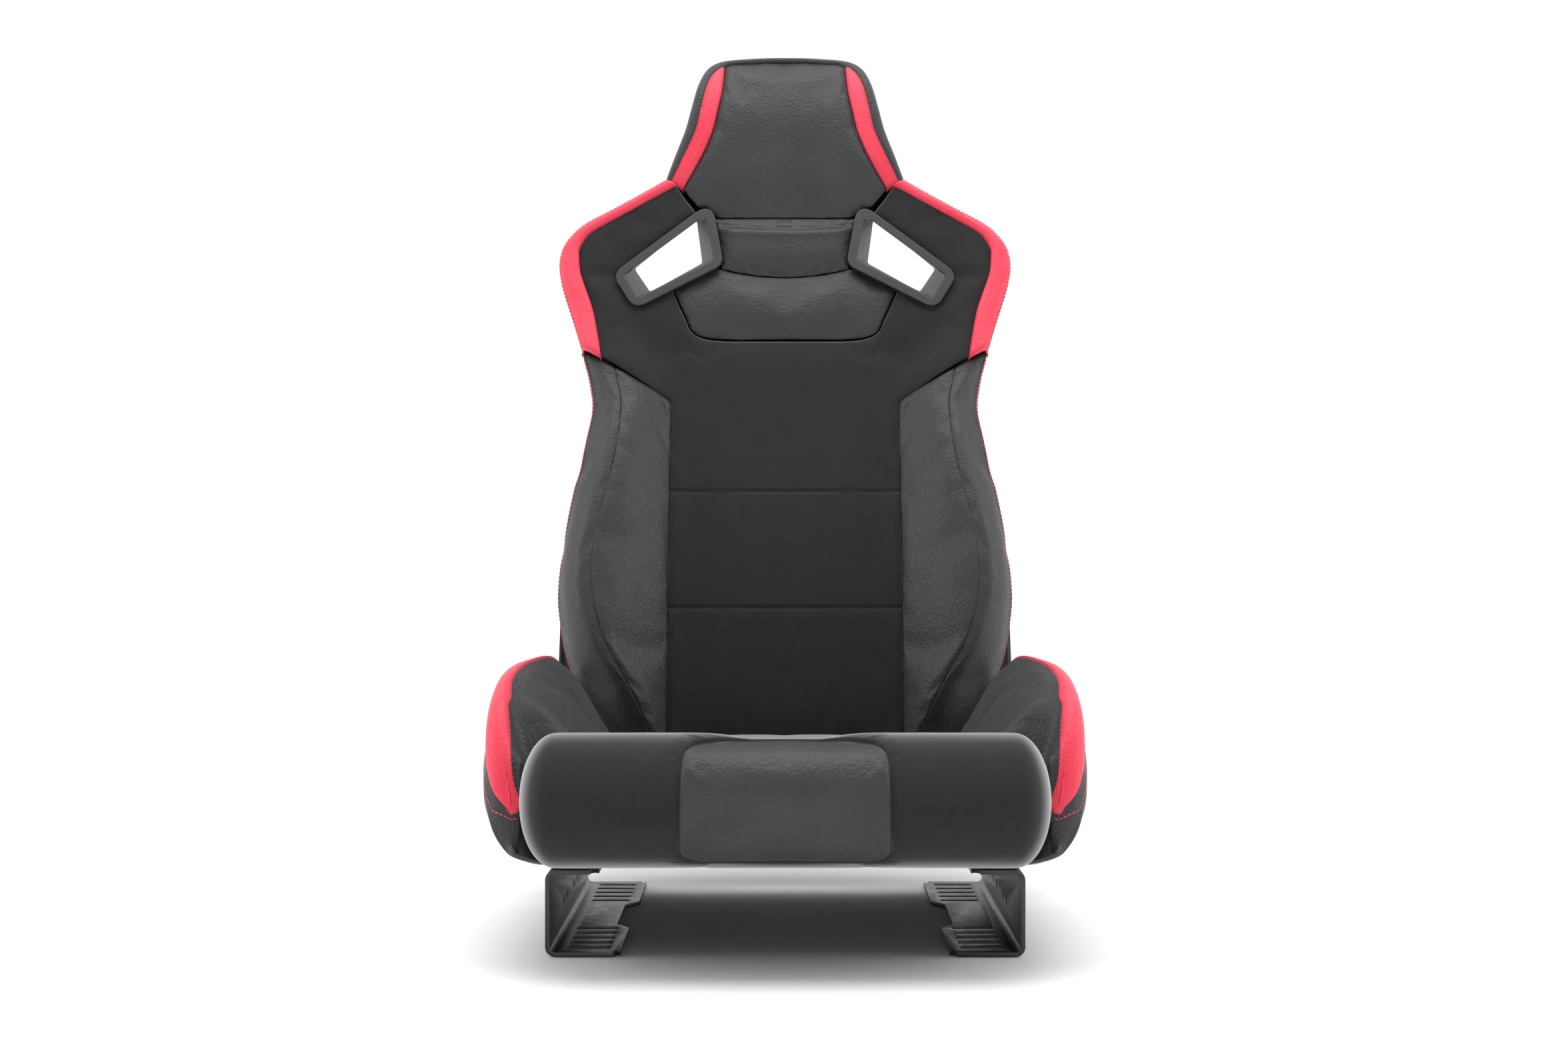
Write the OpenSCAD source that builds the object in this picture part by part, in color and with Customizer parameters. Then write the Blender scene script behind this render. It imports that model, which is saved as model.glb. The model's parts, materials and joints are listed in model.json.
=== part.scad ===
// Reclining bucket seat on a pair of slotted side brackets.
// Millimetres. +Z is up, the seat faces -Y, +X is on the right when it is seen from the front.
// Origin: on the floor, midway between the two brackets and midway along them.

/* [Brackets] */
// Width over the outer faces of the two brackets
bracket_span = 432; // [400:1:460]
// Height of a bracket
bracket_h = 78; // [60:1:110]
// Length of a bracket, front to rear
bracket_len = 390; // [370:1:420]
// Thickness of the bracket's sheet steel
bracket_t = 4; // [3:0.5:5]
// Outside radius of the bracket's bends
bend_r = 9; // [6:0.5:12]
// Width of the foot flange
foot_w = 67; // [62:1:72]
// Width of the top flange
flange_w = 48; // [44:1:54]
// Length of a foot slot, end to end
slot_len = 40; // [30:1:42]
// Width of a foot slot
slot_w = 8; // [6.5:0.5:10]
// Distance from one foot slot to the next
slot_pitch = 24; // [20:1:26]
// Distance from a bracket's end to its first slot
slot_first = 22; // [16:1:28]
// Number of foot slots at each end of a bracket
slot_count = 5; // [2:1:5]
// Depth of the relief in the middle of the foot's inner edge
relief_d = 13; // [2:1:15]
// Diameter of the holes through a bracket's side
side_hole_d = 8.5; // [6:0.5:10]
// Height of the side holes
side_hole_z = 29; // [24:1:40]
// Distance of the two inner side holes from the bracket's middle
side_hole_near = 33; // [24:1:44]
// Distance of the two outer side holes from the bracket's middle
side_hole_far = 66; // [56:1:80]

/* [Seat bolts] */
// Distance across between the four bolts that hold the seat
bolt_x = 380; // [374:1:386]
// Distance front to rear between those bolts
bolt_y = 292; // [260:1:310]
// Thread diameter of the bolts
bolt_d = 8; // [6:1:8]
// Diameter of the bolts' socket heads
bolt_head_d = 11; // [10.5:0.5:13]
// Height of the spacers between bracket and seat
spacer_h = 4; // [3:0.5:8]

/* [Base frame] */
// Width of a side rail
rail_w = 30; // [26:1:32]
// Height of a side rail
rail_h = 28; // [24:1:30]
// Wall of a side rail
rail_t = 2.5; // [2:0.5:3]
// Diameter of the cross tubes
tube_d = 25; // [20:1:26]
// Diameter of the front tube inside the thigh roll
front_tube_d = 22; // [18:1:24]
// Wall of the tubes
tube_t = 2; // [1.5:0.5:3]
// Diameter of the spring wire
wire_d = 3.6; // [3:0.2:4.4]
// Number of wire springs under the cushion
base_spring_count = 5; // [3:1:6]

/* [Base upholstery] */
// Height of the upholstery's underside above the brackets
cover_lift = 14.7; // [13:0.1:20]
// Diameter of the thigh roll
roll_d = 116; // [104:1:124]
// Length of the thigh roll, end to end
roll_w = 457; // [430:1:466]
// Distance of the roll's axis in front of the footprint's middle
roll_reach = 273; // [266:1:285]
// Width of the leather panel on the roll
roll_panel_w = 184; // [150:1:210]
// Thickness of that leather panel
roll_panel_t = 5; // [4:0.5:8]
// Width over the two side wings
wing_w = 538; // [528:1:560]
// Height of the wings above the floor
wing_h = 257; // [245:1:268]
// Width of the seat cushion between the wings
cushion_w = 356; // [340:1:360]
// Width of the trim that runs along a wing's crest
wing_trim_w = 30; // [24:1:34]

/* [Backrest] */
// Lean of the backrest from upright
recline = 15; // [8:1:20]
// Distance of the recline axis behind the footprint's middle
axis_y = 205; // [200:1:212]
// Height of the recline axis above the brackets
axis_lift = 92; // [88:1:98]
// Length of the backrest above the recline axis
back_len = 779; // [760:1:810]
// Width of the backrest at the hips
hip_w = 485; // [478:1:492]
// Width of the backrest at the waist
waist_w = 425; // [410:1:440]
// Width of the backrest at the shoulders
shoulder_w = 507; // [500:1:520]
// Height of the shoulders' widest line above the recline axis
shoulder_v = 518; // [510:1:530]
// Width of the head's panel between its trims, at the top
head_panel_w = 140; // [124:1:150]
// Width of the backrest's centre panel
centre_w = 254; // [240:1:262]
// Width of the trim round a shoulder
shoulder_trim_w = 22; // [18:1:24]
// Depth of the backrest behind its padding
shell_d = 46; // [42:1:52]

/* [Harness openings] */
// Distance of an opening's middle from the seat's middle
harness_x = 129; // [126:1:132]
// Wall of the harness bezels
bezel_t = 3; // [2.5:0.5:4]
// Width of the bezel's front flange
bezel_flange = 10; // [8:0.5:11]

/* [Recliner] */
// Diameter of the recliner discs
disc_d = 68; // [60:1:68]
// Diameter of the release shaft
shaft_d = 12; // [10:1:14]
// Length of a release lever, from its hub to its tip
lever_len = 92; // [80:1:95]
// Thickness of the recliner's steel plates
plate_t = 5; // [4:0.5:5]

/* [Fits] */
// Seam gap between neighbouring covers
seam = 0.6; // [0.4:0.1:1]
// Running clearance on the radius
run_fit = 0.06; // [0.03:0.01:0.1]

/* [Hidden] */
$fn = 48;
pad_back = 8;            // plane that backs the backrest's padding, forward of the axis
lumbar_w = 42;           // most forward part of the centre panel
tube_w = -15;            // plane of the backrest's tubes
shell_t = 3;             // wall of the backrest's shell
foam_gap = 6;            // room between the springs and the foam

half_span = bracket_span / 2;
bolt_z = bracket_h + spacer_h;
rail_mid = bolt_z + rail_h / 2;
rail_top = bolt_z + rail_h;
rail_front = -205;
rail_rear = 215;
cover_z = bracket_h + cover_lift;
roll_r = roll_d / 2;
roll_z = cover_z + roll_r;
axis_z = bracket_h + axis_lift;
hip_half = hip_w / 2;
waist_half = waist_w / 2;
shoulder_half = shoulder_w / 2;
centre_half = centre_w / 2;
head_half = head_panel_w / 2;
hip_v = 134;
waist_v = 340;
foot_v = -30;
join_v = shoulder_v + 96;   // where head and shoulder covers meet
seam_v = 359;               // lower end of the bolsters' slanted top seam
seam_rise = 0.583;          // slope of that seam
shell_split = 70;           // height where the lower shell ends
wire_z = rail_top + wire_d / 2 + 0.4;
cushion_z = rail_top + wire_d + foam_gap;

// Stack of the recliner, from the inside outwards
arm_x = hip_half - 23.5;
arm_t = plate_t - 1;
disc_x = arm_x + arm_t;
disc_t = 6;
fixed_x = disc_x + disc_t + 0.3;
plate_x = fixed_x + disc_t;
cover_x = plate_x + plate_t + 1;
cover_t = 11;
lever_x = cover_x + cover_t + 2;
lever_t = 12;
disc_r = disc_d / 2;
shaft_r = shaft_d / 2;
rear_tube = [189, rail_mid];
mid_tube = [126, rail_mid];

fabric_c = "#383838";
leather_c = "#484848";
red_c = "#f0465c";
plastic_c = "#2e2e30";
steel_c = "#8d9094";
black_steel_c = "#303032";

// ---------- curves and surfaces ----------

function clamp(t) = min(1, max(0, t));
function ease(t) = let (c = clamp(t)) c * c * (3 - 2 * c);
function mix(a, b, t) = a + (b - a) * t;
function flat(rows) = [for (row = rows) for (p = row) p];
function reversed(list) = [for (i = [len(list) - 1 : -1 : 0]) list[i]];

// Smooth curve through a table of [key, value]
function slope(tab, i) = let (a = tab[max(0, i - 1)], b = tab[min(len(tab) - 1, i + 1)])
    (b[1] - a[1]) / (b[0] - a[0]);
function segment(t, tab, i = 0) =
    i >= len(tab) - 2 || t < tab[i + 1][0] ? i : segment(t, tab, i + 1);
function curve(t, tab) = let (
        i = segment(t, tab),
        a = tab[i],
        b = tab[i + 1],
        h = b[0] - a[0],
        s = clamp((t - a[0]) / h),
        s2 = s * s,
        s3 = s2 * s)
    (2 * s3 - 3 * s2 + 1) * a[1] + (s3 - 2 * s2 + s) * h * slope(tab, i)
    + (3 * s2 - 2 * s3) * b[1] + (s3 - s2) * h * slope(tab, i + 1);

// Seam dip: 1 on the rim of a panel, 0 from a twelfth of the way in
function rim(t) = let (d = min(t, 1 - t)) pow(1 - clamp(d / 0.12), 2);
across = [0, 0.04, 0.12, 0.3, 0.5, 0.7, 0.88, 0.96, 1];

// Closed pad between a face grid and a back grid of the same size
module slab(face, back) {
    rows = len(face) - 1;
    cols = len(face[0]) - 1;
    w = cols + 1;
    n = (rows + 1) * w;
    grid = [for (i = [0 : rows - 1]) for (j = [0 : cols - 1]) [i * w + j, (i + 1) * w + j]];
    polyhedron(concat(flat(face), flat(back)), concat(
        [for (q = grid) [q[0], q[1], q[1] + 1]],
        [for (q = grid) [q[0], q[1] + 1, q[0] + 1]],
        [for (q = grid) [n + q[0], n + q[1] + 1, n + q[1]]],
        [for (q = grid) [n + q[0], n + q[0] + 1, n + q[1] + 1]],
        [for (j = [0 : cols - 1]) [j, j + 1, n + j + 1]],
        [for (j = [0 : cols - 1]) [j, n + j + 1, n + j]],
        [for (j = [0 : cols - 1]) let (a = rows * w + j) [a + 1, a, n + a]],
        [for (j = [0 : cols - 1]) let (a = rows * w + j) [a + 1, n + a, n + a + 1]],
        [for (i = [0 : rows - 1]) let (a = i * w) [a + w, a, n + a]],
        [for (i = [0 : rows - 1]) let (a = i * w) [a + w, n + a, n + a + w]],
        [for (i = [0 : rows - 1]) let (a = i * w + cols) [a, a + w, n + a + w]],
        [for (i = [0 : rows - 1]) let (a = i * w + cols) [a, n + a + w, n + a]]));
}

// Closed skin over a row of rings; each end is closed round its middle, or joined in a loop
module skin(rings, loop = false) {
    n = len(rings[0]);
    m = len(rings);
    last = loop ? m - 1 : m - 2;
    mids = loop ? [] : [for (k = [0, m - 1]) [for (c = [0 : 2]) ring_mean(rings[k], c)]];
    polyhedron(concat(flat(rings), mids), concat(
        [for (i = [0 : last]) for (j = [0 : n - 1])
            [i * n + j, (i + 1) % m * n + j, (i + 1) % m * n + (j + 1) % n]],
        [for (i = [0 : last]) for (j = [0 : n - 1])
            [i * n + j, (i + 1) % m * n + (j + 1) % n, i * n + (j + 1) % n]],
        loop ? [] : [for (j = [0 : n - 1]) [m * n, j, (j + 1) % n]],
        loop ? [] : [for (j = [0 : n - 1]) [m * n + 1, (m - 1) * n + (j + 1) % n, (m - 1) * n + j]]));
}
function ring_mean(ring, c) = let (v = [for (p = ring) p[c]]) v * [for (p = ring) 1] / len(ring);

// Wire or tube of radius r along points that lie in a plane with the given normal
function unit(v) = v / norm(v);
module wire(path, r, normal, sides = 6) {
    k = len(path) - 1;
    skin([for (i = [0 : k]) let (
            along = unit(path[min(k, i + 1)] - path[max(0, i - 1)]),
            side = cross(along, normal))
        [for (j = [0 : sides - 1]) let (a = 360 * j / sides)
            path[i] + r * (side * cos(a) - normal * sin(a))]]);
}

module both_sides() {
    children();
    mirror([1, 0, 0]) children();
}
module on_left() { mirror([1, 0, 0]) children(); }

// Places a piece that is drawn upright, as [x, -forward, up], on the reclined backrest
module on_back() {
    translate([0, axis_y, axis_z]) rotate([-recline, 0, 0]) children();
}
module x_rod(x0, x1, r) { translate([x0, 0, 0]) rotate([0, 90, 0]) cylinder(h = x1 - x0, r = r); }

// A plate in the Y-Z plane from x0, thick t, round the circles [y, z, r]
module x_plate(x0, t, circles) {
    translate([x0, 0, 0]) rotate([90, 0, 90]) linear_extrude(t)
        hull() for (c = circles) translate([c[0], c[1]]) circle(r = c[2], $fn = 40);
}

// ---------- brackets ----------

module bend_profile(x, z, turn) {
    translate([x, z]) rotate(turn) intersection() {
        difference() {
            circle(bend_r);
            circle(bend_r - bracket_t);
        }
        square(bend_r);
    }
}

module bracket_profile() {
    web_x = half_span - bracket_t;
    bend_x = half_span - bend_r;
    translate([half_span - foot_w, 0]) square([foot_w - bend_r, bracket_t]);
    translate([web_x, bend_r]) square([bracket_t, bracket_h - 2 * bend_r]);
    translate([half_span - flange_w, bracket_h - bracket_t]) square([flange_w - bend_r, bracket_t]);
    bend_profile(bend_x, bend_r, -90);
    bend_profile(bend_x, bracket_h - bend_r, 0);
}

module foot_slot() {
    run = slot_len / 2 - slot_w / 2;
    translate([-run, -slot_w / 2, -1]) cube([2 * run, slot_w, bracket_t + 2]);
    for (x = [-run, run]) translate([x, 0, -1]) cylinder(h = bracket_t + 2, d = slot_w, $fn = 24);
}
slot_x = half_span - foot_w / 2 - 3.9;
function slot_y(i) = bracket_len / 2 - slot_first - i * slot_pitch;

module corner_cut(x, y, z, size, turn) {
    translate([x, y, z]) rotate(turn) translate([-size / 2, -size, -1])
        cube([size, 2 * size, bracket_t + 2]);
}

module bracket() {
    foot_edge = half_span - foot_w;
    flange_edge = half_span - flange_w;
    relief_flat = 54;
    relief_slope = 20;
    color(black_steel_c) difference() {
        translate([0, bracket_len / 2, 0]) rotate([90, 0, 0]) linear_extrude(bracket_len)
            bracket_profile();
        for (end = [-1, 1]) for (i = [0 : slot_count - 1])
            translate([slot_x, end * slot_y(i), 0]) foot_slot();
        translate([foot_edge, 0, -1]) linear_extrude(bracket_t + 2) polygon([
            [-1, -relief_flat - relief_slope], [0, -relief_flat - relief_slope],
            [relief_d, -relief_flat], [relief_d, relief_flat],
            [0, relief_flat + relief_slope], [-1, relief_flat + relief_slope]]);
        for (y = [-side_hole_far, -side_hole_near, side_hole_near, side_hole_far])
            translate([half_span - bracket_t - 1, y, side_hole_z]) rotate([0, 90, 0])
                cylinder(h = bracket_t + 2, d = side_hole_d, $fn = 24);
        for (y = [-1, 1]) translate([bolt_x / 2, y * bolt_y / 2, bracket_h - bracket_t - 1])
            cylinder(h = bracket_t + 2, d = bolt_d + 1, $fn = 24);
        for (end = [-1, 1]) {
            corner_cut(foot_edge, end * bracket_len / 2, 0, 8, end * 45);
            corner_cut(flange_edge, end * bracket_len / 2, bracket_h - bracket_t, 10, end * 45);
        }
    }
}
module bracket_left() { on_left() bracket(); }
module bracket_right() { bracket(); }

// ---------- bolts that hold the seat ----------

module at_bolts() {
    for (x = [-1, 1]) for (y = [-1, 1]) translate([x * bolt_x / 2, y * bolt_y / 2, 0]) children();
}
bolt_head_h = 7;
weld_nut_h = 7;
hex_reach = 1.3;         // depth of a head's hexagon socket over its thread's radius
// Socket-head screws, put in from below
module seat_bolts() {
    under = bracket_h - bracket_t;
    grip = bracket_t + spacer_h + rail_t + weld_nut_h;
    color(black_steel_c) at_bolts() translate([0, 0, under]) difference() {
        union() {
            translate([0, 0, -bolt_head_h]) cylinder(h = bolt_head_h - 0.05, d = bolt_head_d);
            translate([0, 0, -1]) cylinder(h = grip + 3, d = bolt_d);
        }
        translate([0, 0, -bolt_head_h - 1]) cylinder(h = 5, r = bolt_d / 2 / hex_reach, $fn = 6);
    }
}
module weld_nuts() {
    color(steel_c) at_bolts() translate([0, 0, bolt_z + rail_t + 0.05]) difference() {
        cylinder(h = weld_nut_h, d = 2 * bolt_d, $fn = 6);
        translate([0, 0, -1]) cylinder(h = weld_nut_h + 2, d = bolt_d + 2 * run_fit);
    }
}
module seat_spacers() {
    color(steel_c) at_bolts() translate([0, 0, bracket_h + 0.05]) difference() {
        cylinder(h = spacer_h - 0.1, d = rail_w - 4);
        translate([0, 0, -1]) cylinder(h = spacer_h + 2, d = bolt_d + 2 * run_fit);
    }
}

// ---------- base frame ----------

module side_rail() {
    color(black_steel_c) difference() {
        translate([bolt_x / 2 - rail_w / 2, rail_front, bolt_z])
            cube([rail_w, rail_rear - rail_front, rail_h]);
        translate([bolt_x / 2 - rail_w / 2 + rail_t, rail_front - 1, bolt_z + rail_t])
            cube([rail_w - 2 * rail_t, rail_rear - rail_front + 2, rail_h - 2 * rail_t]);
        for (y = [-1, 1]) translate([bolt_x / 2, y * bolt_y / 2, bolt_z - 1])
            cylinder(h = rail_t + 2, d = bolt_d + 2 * run_fit);
        for (t = [rear_tube, mid_tube]) translate([0, t[0], t[1]])
            x_rod(bolt_x / 2 - rail_w, bolt_x / 2 + rail_w, tube_d / 2 + run_fit);
    }
}
module side_rail_left() { on_left() side_rail(); }
module side_rail_right() { side_rail(); }

module cross_tube(at, half, r) {
    color(black_steel_c) translate([0, at[0], at[1]]) difference() {
        x_rod(-half, half, r);
        x_rod(-half - 1, half + 1, r - tube_t);
    }
}
front_arm_t = 6;
front_arm_x = bolt_x / 2 - rail_w / 2 - front_arm_t - 0.1;
front_at = [-roll_reach + 9, roll_z - 30];
front_arm_end = [rail_front + 8, rail_mid];
module mid_cross_tube() { cross_tube(mid_tube, plate_x + plate_t, tube_d / 2); }
module rear_cross_tube() { cross_tube(rear_tube, plate_x + plate_t, tube_d / 2); }
module front_tube() { cross_tube(front_at, front_arm_x + front_arm_t + 4, front_tube_d / 2); }

// Arm from a rail's front end to the tube in the roll
module front_arm() {
    color(black_steel_c) difference() {
        union() {
            x_plate(front_arm_x, front_arm_t, [concat(front_at, front_tube_d / 2 + 1.8),
                concat(front_arm_end, 12.5)]);
            x_plate(front_arm_x, front_arm_t, [concat(front_arm_end, 12.5),
                [rail_front + 70, rail_mid, 10]]);
        }
        translate([0, front_at[0], front_at[1]])
            x_rod(front_arm_x - 1, front_arm_x + front_arm_t + 1, front_tube_d / 2 + run_fit);
    }
}
module front_arm_left() { on_left() front_arm(); }
module front_arm_right() { front_arm(); }

// Zigzag spring wires that carry the foam
function zigzag(a, b, swing, side, count) = let (dir = b - a)
    [for (i = [0 : count]) a + dir * i / count
        + side * (i == 0 || i == count ? 0 : swing * ((i % 4 == 1 || i % 4 == 2) ? 1 : -1))];
module base_springs() {
    reach = front_arm_x - 30;
    color(steel_c) for (i = [0 : base_spring_count - 1]) {
        x = mix(-reach, reach, i / (base_spring_count - 1));
        wire(zigzag([x, -185, wire_z], [x, 150, wire_z], 16, [1, 0, 0], 26), wire_d / 2, [0, 0, 1]);
    }
}

// Fibreboard under the springs, between the rails
board_t = 2;
board_front = rail_front + 15;
board_rear = mid_tube[0] - tube_d / 2 - 5.5;
board_corner = 12;
module under_cover() {
    half = front_arm_x - 1;
    color(plastic_c) translate([0, 0, bolt_z + 2]) linear_extrude(board_t) polygon([
        [-half + board_corner, board_front], [half - board_corner, board_front],
        [half, board_front + board_corner], [half, board_rear],
        [-half, board_rear], [-half, board_front + board_corner]]);
}

// ---------- base upholstery ----------

cushion_half = cushion_w / 2;
cushion_front = -roll_reach + roll_r + 1.5;
cushion_rear = 150;
cushion_rows = [0, 0.03, 0.08, 0.16, 0.25, 0.335, 0.35, 0.365, 0.45, 0.55, 0.645, 0.66, 0.675, 0.76,
                0.85, 0.93, 0.975, 1];
// Height of the cushion's middle, from its front edge to its rear
function cushion_top(s) = cushion_z + curve(s, [[0, 62], [0.12, 66], [0.4, 57], [0.7, 49], [1, 46]]);
cushion_sides = 8;       // rise of the cushion's sides over its middle
function channel(s, at) = max(0, 1 - abs(s - at) / 0.015);
module seat_cushion() {
    face = [for (s = cushion_rows) [for (u = across) let (
            c = 2 * u - 1,
            rear = cushion_rear - 22 * pow(abs(c), 4),
            x = c * cushion_half,
            y = mix(cushion_front, rear, s),
            drop = 9 * rim(u) + 14 * pow(1 - clamp(min(s / 0.06, (1 - s) / 0.1)), 2)
                + 4 * max(channel(s, 0.35), channel(s, 0.66)))
        [x, y, cushion_top(s) + cushion_sides * pow(abs(c), 3) - drop]]];
    color(fabric_c) slab(face, [for (row = face) [for (p = row)
        [p[0] * 0.985, clamp_y(p[1]), cushion_z]]]);
}
function clamp_y(y) = mix(cushion_front, cushion_rear, (y - cushion_front) / (cushion_rear - cushion_front)
    * 0.94 + 0.01);

// Thigh roll: a round bolster with elliptical ends, a recess for its panel and a slot for its frame
roll_half = roll_w / 2;
roll_end = 31;
slot_half = front_tube_d / 2 + 3;
slot_in = front_at + [roll_reach, -roll_z];      // slot's inner end, from the roll's own axis
slot_dir = unit(front_arm_end - front_at);
slot_out = slot_in + slot_dir * (roll_r - norm(slot_in) + 8);
slot_turn = atan2(slot_out[1], slot_out[0]);
panel_from = 71;         // upper end of the roll's panel, as an angle round the roll
panel_to = 243;          // lower end
recess_from = panel_from - 2.5;
recess_to = panel_to + 2.5;
roll_turns = concat([0, 34, recess_from - 1, recess_from + 0.1],
    [for (i = [1 : 7]) mix(recess_from, recess_to, i / 8)],
    [recess_to - 0.1, recess_to + 1, recess_to + 20, recess_to + 42, recess_to + 64]);
function roll_radius(x) = let (over = (abs(x) - roll_half + roll_end) / roll_end)
    over <= 0 ? roll_r : roll_r * sqrt(max(0, 1 - over * over));
function roll_ring(x, r, recess, deep) = let (
        slot = deep ? slot_half : min(1.5, r * 0.3),
        mouth_turn = asin((deep ? slot_half + 3 : slot) / r),
        inner = deep ? slot_in : r * 0.8 * [cos(slot_turn), sin(slot_turn)],
        floor_turn = atan2(slot_dir[1], slot_dir[0]) - 90)
    concat(
        [for (a = concat(slot_turn + mouth_turn, roll_turns, slot_turn + 360 - mouth_turn)) let (
                depth = recess && a > recess_from && a < recess_to ? roll_panel_t + 1.5 : 0)
            [x, -roll_reach + (r - depth) * cos(a), roll_z + (r - depth) * sin(a)]],
        [for (i = [0 : 4]) let (a = floor_turn - 45 * i)
            [x, -roll_reach + inner[0] + slot * cos(a), roll_z + inner[1] + slot * sin(a)]]);
module thigh_roll() {
    panel_half = roll_panel_w / 2 + seam;
    deep_half = front_arm_x + front_arm_t + 6;
    ends = [for (k = [0 : 5]) roll_half - roll_end * (1 - sin(90 * k / 5.5))];
    color(fabric_c) skin(concat(
        [for (x = reversed(ends)) roll_ring(-x, roll_radius(x), false, false)],
        [roll_ring(-deep_half - 1, roll_r, false, false), roll_ring(-deep_half, roll_r, false, true)],
        [roll_ring(-panel_half, roll_r, false, true), roll_ring(-panel_half + 0.1, roll_r, true, true)],
        [roll_ring(panel_half - 0.1, roll_r, true, true), roll_ring(panel_half, roll_r, false, true)],
        [roll_ring(deep_half, roll_r, false, true), roll_ring(deep_half + 1, roll_r, false, false)],
        [for (x = ends) roll_ring(x, roll_radius(x), false, false)]));
}
module roll_panel() {
    count = 13;
    sink_from = 110;     // turn above which the panel sinks into the roll
    under = roll_r - roll_panel_t - 0.3;
    function turn(i) = mix(panel_to, panel_from, i / count);
    face = [for (i = [0 : count]) [for (u = across) let (
            c = 2 * u - 1,
            tuck = 1 - 0.1 * pow(1 - clamp(min(i, count - i) / 2), 2),
            r = roll_r - 0.3 - 1.6 * rim(u) - 3 * ease((sink_from - turn(i)) / 40))
        [c * tuck * roll_panel_w / 2, -roll_reach + r * cos(turn(i)), roll_z + r * sin(turn(i))]]];
    color(leather_c) slab(face, [for (i = [0 : count]) [for (p = face[i])
        [p[0], -roll_reach + under * cos(turn(i)), roll_z + under * sin(turn(i))]]]);
}

// Side wing: rings along Y, each with its crest, its bulging outer side and its inner slope
wing_half = wing_w / 2;
wing_rear = 92;
wing_front = -270;
wing_turn_w = 40;
wing_turn_h = 58;
socket_z = 128;
socket_mid = 108;
trim_rear = wing_rear - 8;
trim_front = wing_front + 6;
wing_rows = [wing_front, trim_front - 1, trim_front, -254, -238, -217, -205, -185, -145, -100, -55, -10, 30,
    62, trim_rear, trim_rear + 1, wing_rear];
function crest_z(y) = wing_h - curve(y, [[wing_front, 142], [-262, 108], [-254, 80], [-243, 56],
    [-225, 33], [-205, 20], [-165, 8], [-110, 2], [-40, 0], [30, 0.5], [66, 10], [wing_rear, 34]]);
function crest_x(y) = wing_half - curve(y, [[wing_front, 32], [-255, 22], [-235, 15], [-140, 13],
    [-60, 17], [0, 25], [50, 32], [wing_rear, 42]]);
function outer_x(y) = wing_half - curve(y, [[wing_front, 26], [-262, 14], [-245, 5.5], [-215, 1.5],
    [-140, 0], [-60, 1], [0, 4], [50, 10], [wing_rear, 24]]);
function side_z(y) = cushion_z + curve(y, [[wing_front, 4], [-240, 30], [-200, 58], [-100, 66], [0, 58],
    [wing_rear, 52]]);
// Inner side of the wing: beside the cushion, then out round the roll's end, under which a lip reaches in
past_roll = -roll_reach + roll_r + 2;
function wing_in(y) = mix(cushion_half + seam, roll_half + 1.2, ease((past_roll + 20 - y) / 20));
function wing_ring(y, notch) = let (
        shrink = 3 * pow(1 - clamp(min((wing_rear - y) / 8, (y - wing_front) / 10)), 2),
        past = ease((rail_front - y) / 8),
        floor_z = cover_z + shrink,
        xi = wing_in(y) + 0.4 * shrink,
        xo = outer_x(y) - shrink,
        xc = max(crest_x(y), xi + 4),
        zc = crest_z(y) - shrink,
        zi = min(side_z(y), zc - 6),
        rail_side = bolt_x / 2 + rail_w / 2 + 2,
        keel = rail_side + 4 * shrink * past,
        over = mix(rail_top + 3, floor_z + 1.5, past),
        top = min(mix(over, socket_z, past), zi - 4) + 1,
        mid = min(mix(over + 0.6, socket_mid, past), top - 0.6),
        low_x = max(keel + 1.5, xo - wing_turn_w),
        low_h = min(wing_turn_h, 0.48 * (zc - floor_z)),
        ft = min(wing_trim_w, 0.4 * (zc - floor_z)),
        side = mix(xo, xc, 0.15),
        cut = notch ? 0.23 * ft : 0)
    [[mix(keel, xi + 1, 0.58), y, mid], [keel, y, over],
     [keel + 0.5, y, floor_z + 0.7], [low_x, y, floor_z], [mix(xo, low_x, 0.6), y, floor_z + 0.16 * low_h],
     [mix(xo, low_x, 0.29), y, floor_z + 0.47 * low_h], [xo, y, floor_z + low_h],
     [side, y, zc - ft * 0.9], [side - cut, y, zc - ft * 0.88],
     [mix(xo, xc, 0.5) - cut * 0.9, y, zc - ft * 0.28 - cut * 0.6],
     [xc - cut * 0.35, y, zc - cut],
     [xc - ft * 0.3, y, zc - ft * 0.05 - cut], [xc - ft * 0.33, y, zc - ft * 0.06],
     [mix(xc, xi, 0.42), y, mix(zc, zi, 0.24)],
     [mix(xc, xi, 0.72), y, mix(zc, zi, 0.62)], [xi + 0.5, y, zi], [xi, y, mix(top, zi, 0.6)],
     [xi + 1, y, top]];
module wing() {
    color(leather_c) skin([for (y = reversed(wing_rows))
        wing_ring(y, y > trim_front - 0.5 && y < trim_rear + 0.5)]);
}
// Leather trim in the wing's notch, from its outer side over the crest
module wing_trim() {
    rows = [for (y = reversed(wing_rows)) if (y > trim_front - 0.5 && y < trim_rear + 0.5)
        min(max(y, trim_front + seam), trim_rear - seam)];
    lifts = [[0.8, 0, 0.3], [0.8, 0, 0.4], [0.8, 0, 0.6], [0.6, 0, 0.8], [0, 0, 0.9], [0, 0, 0.9]];
    bulge = [[0.8, 0, 0], [1.5, 0, 1], [1, 0, 1], [1.5, 0, 2], [0, 0, 1], [0, 0, 1]];
    places = [8.1, 8.5, 9, 9.5, 10, 10.85];
    function on_ring(ring, place) = let (k = floor(place)) mix(ring[k], ring[k + 1], place - k);
    function grid(notch, offsets) = [for (y = rows) let (ring = wing_ring(y, notch))
        [for (j = [0 : 5]) on_ring(ring, places[j]) + offsets[j]]];
    color(red_c) slab(grid(false, bulge), grid(true, lifts));
}
module wing_left() { on_left() wing(); }
module wing_right() { wing(); }
module wing_trim_left() { on_left() wing_trim(); }
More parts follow.
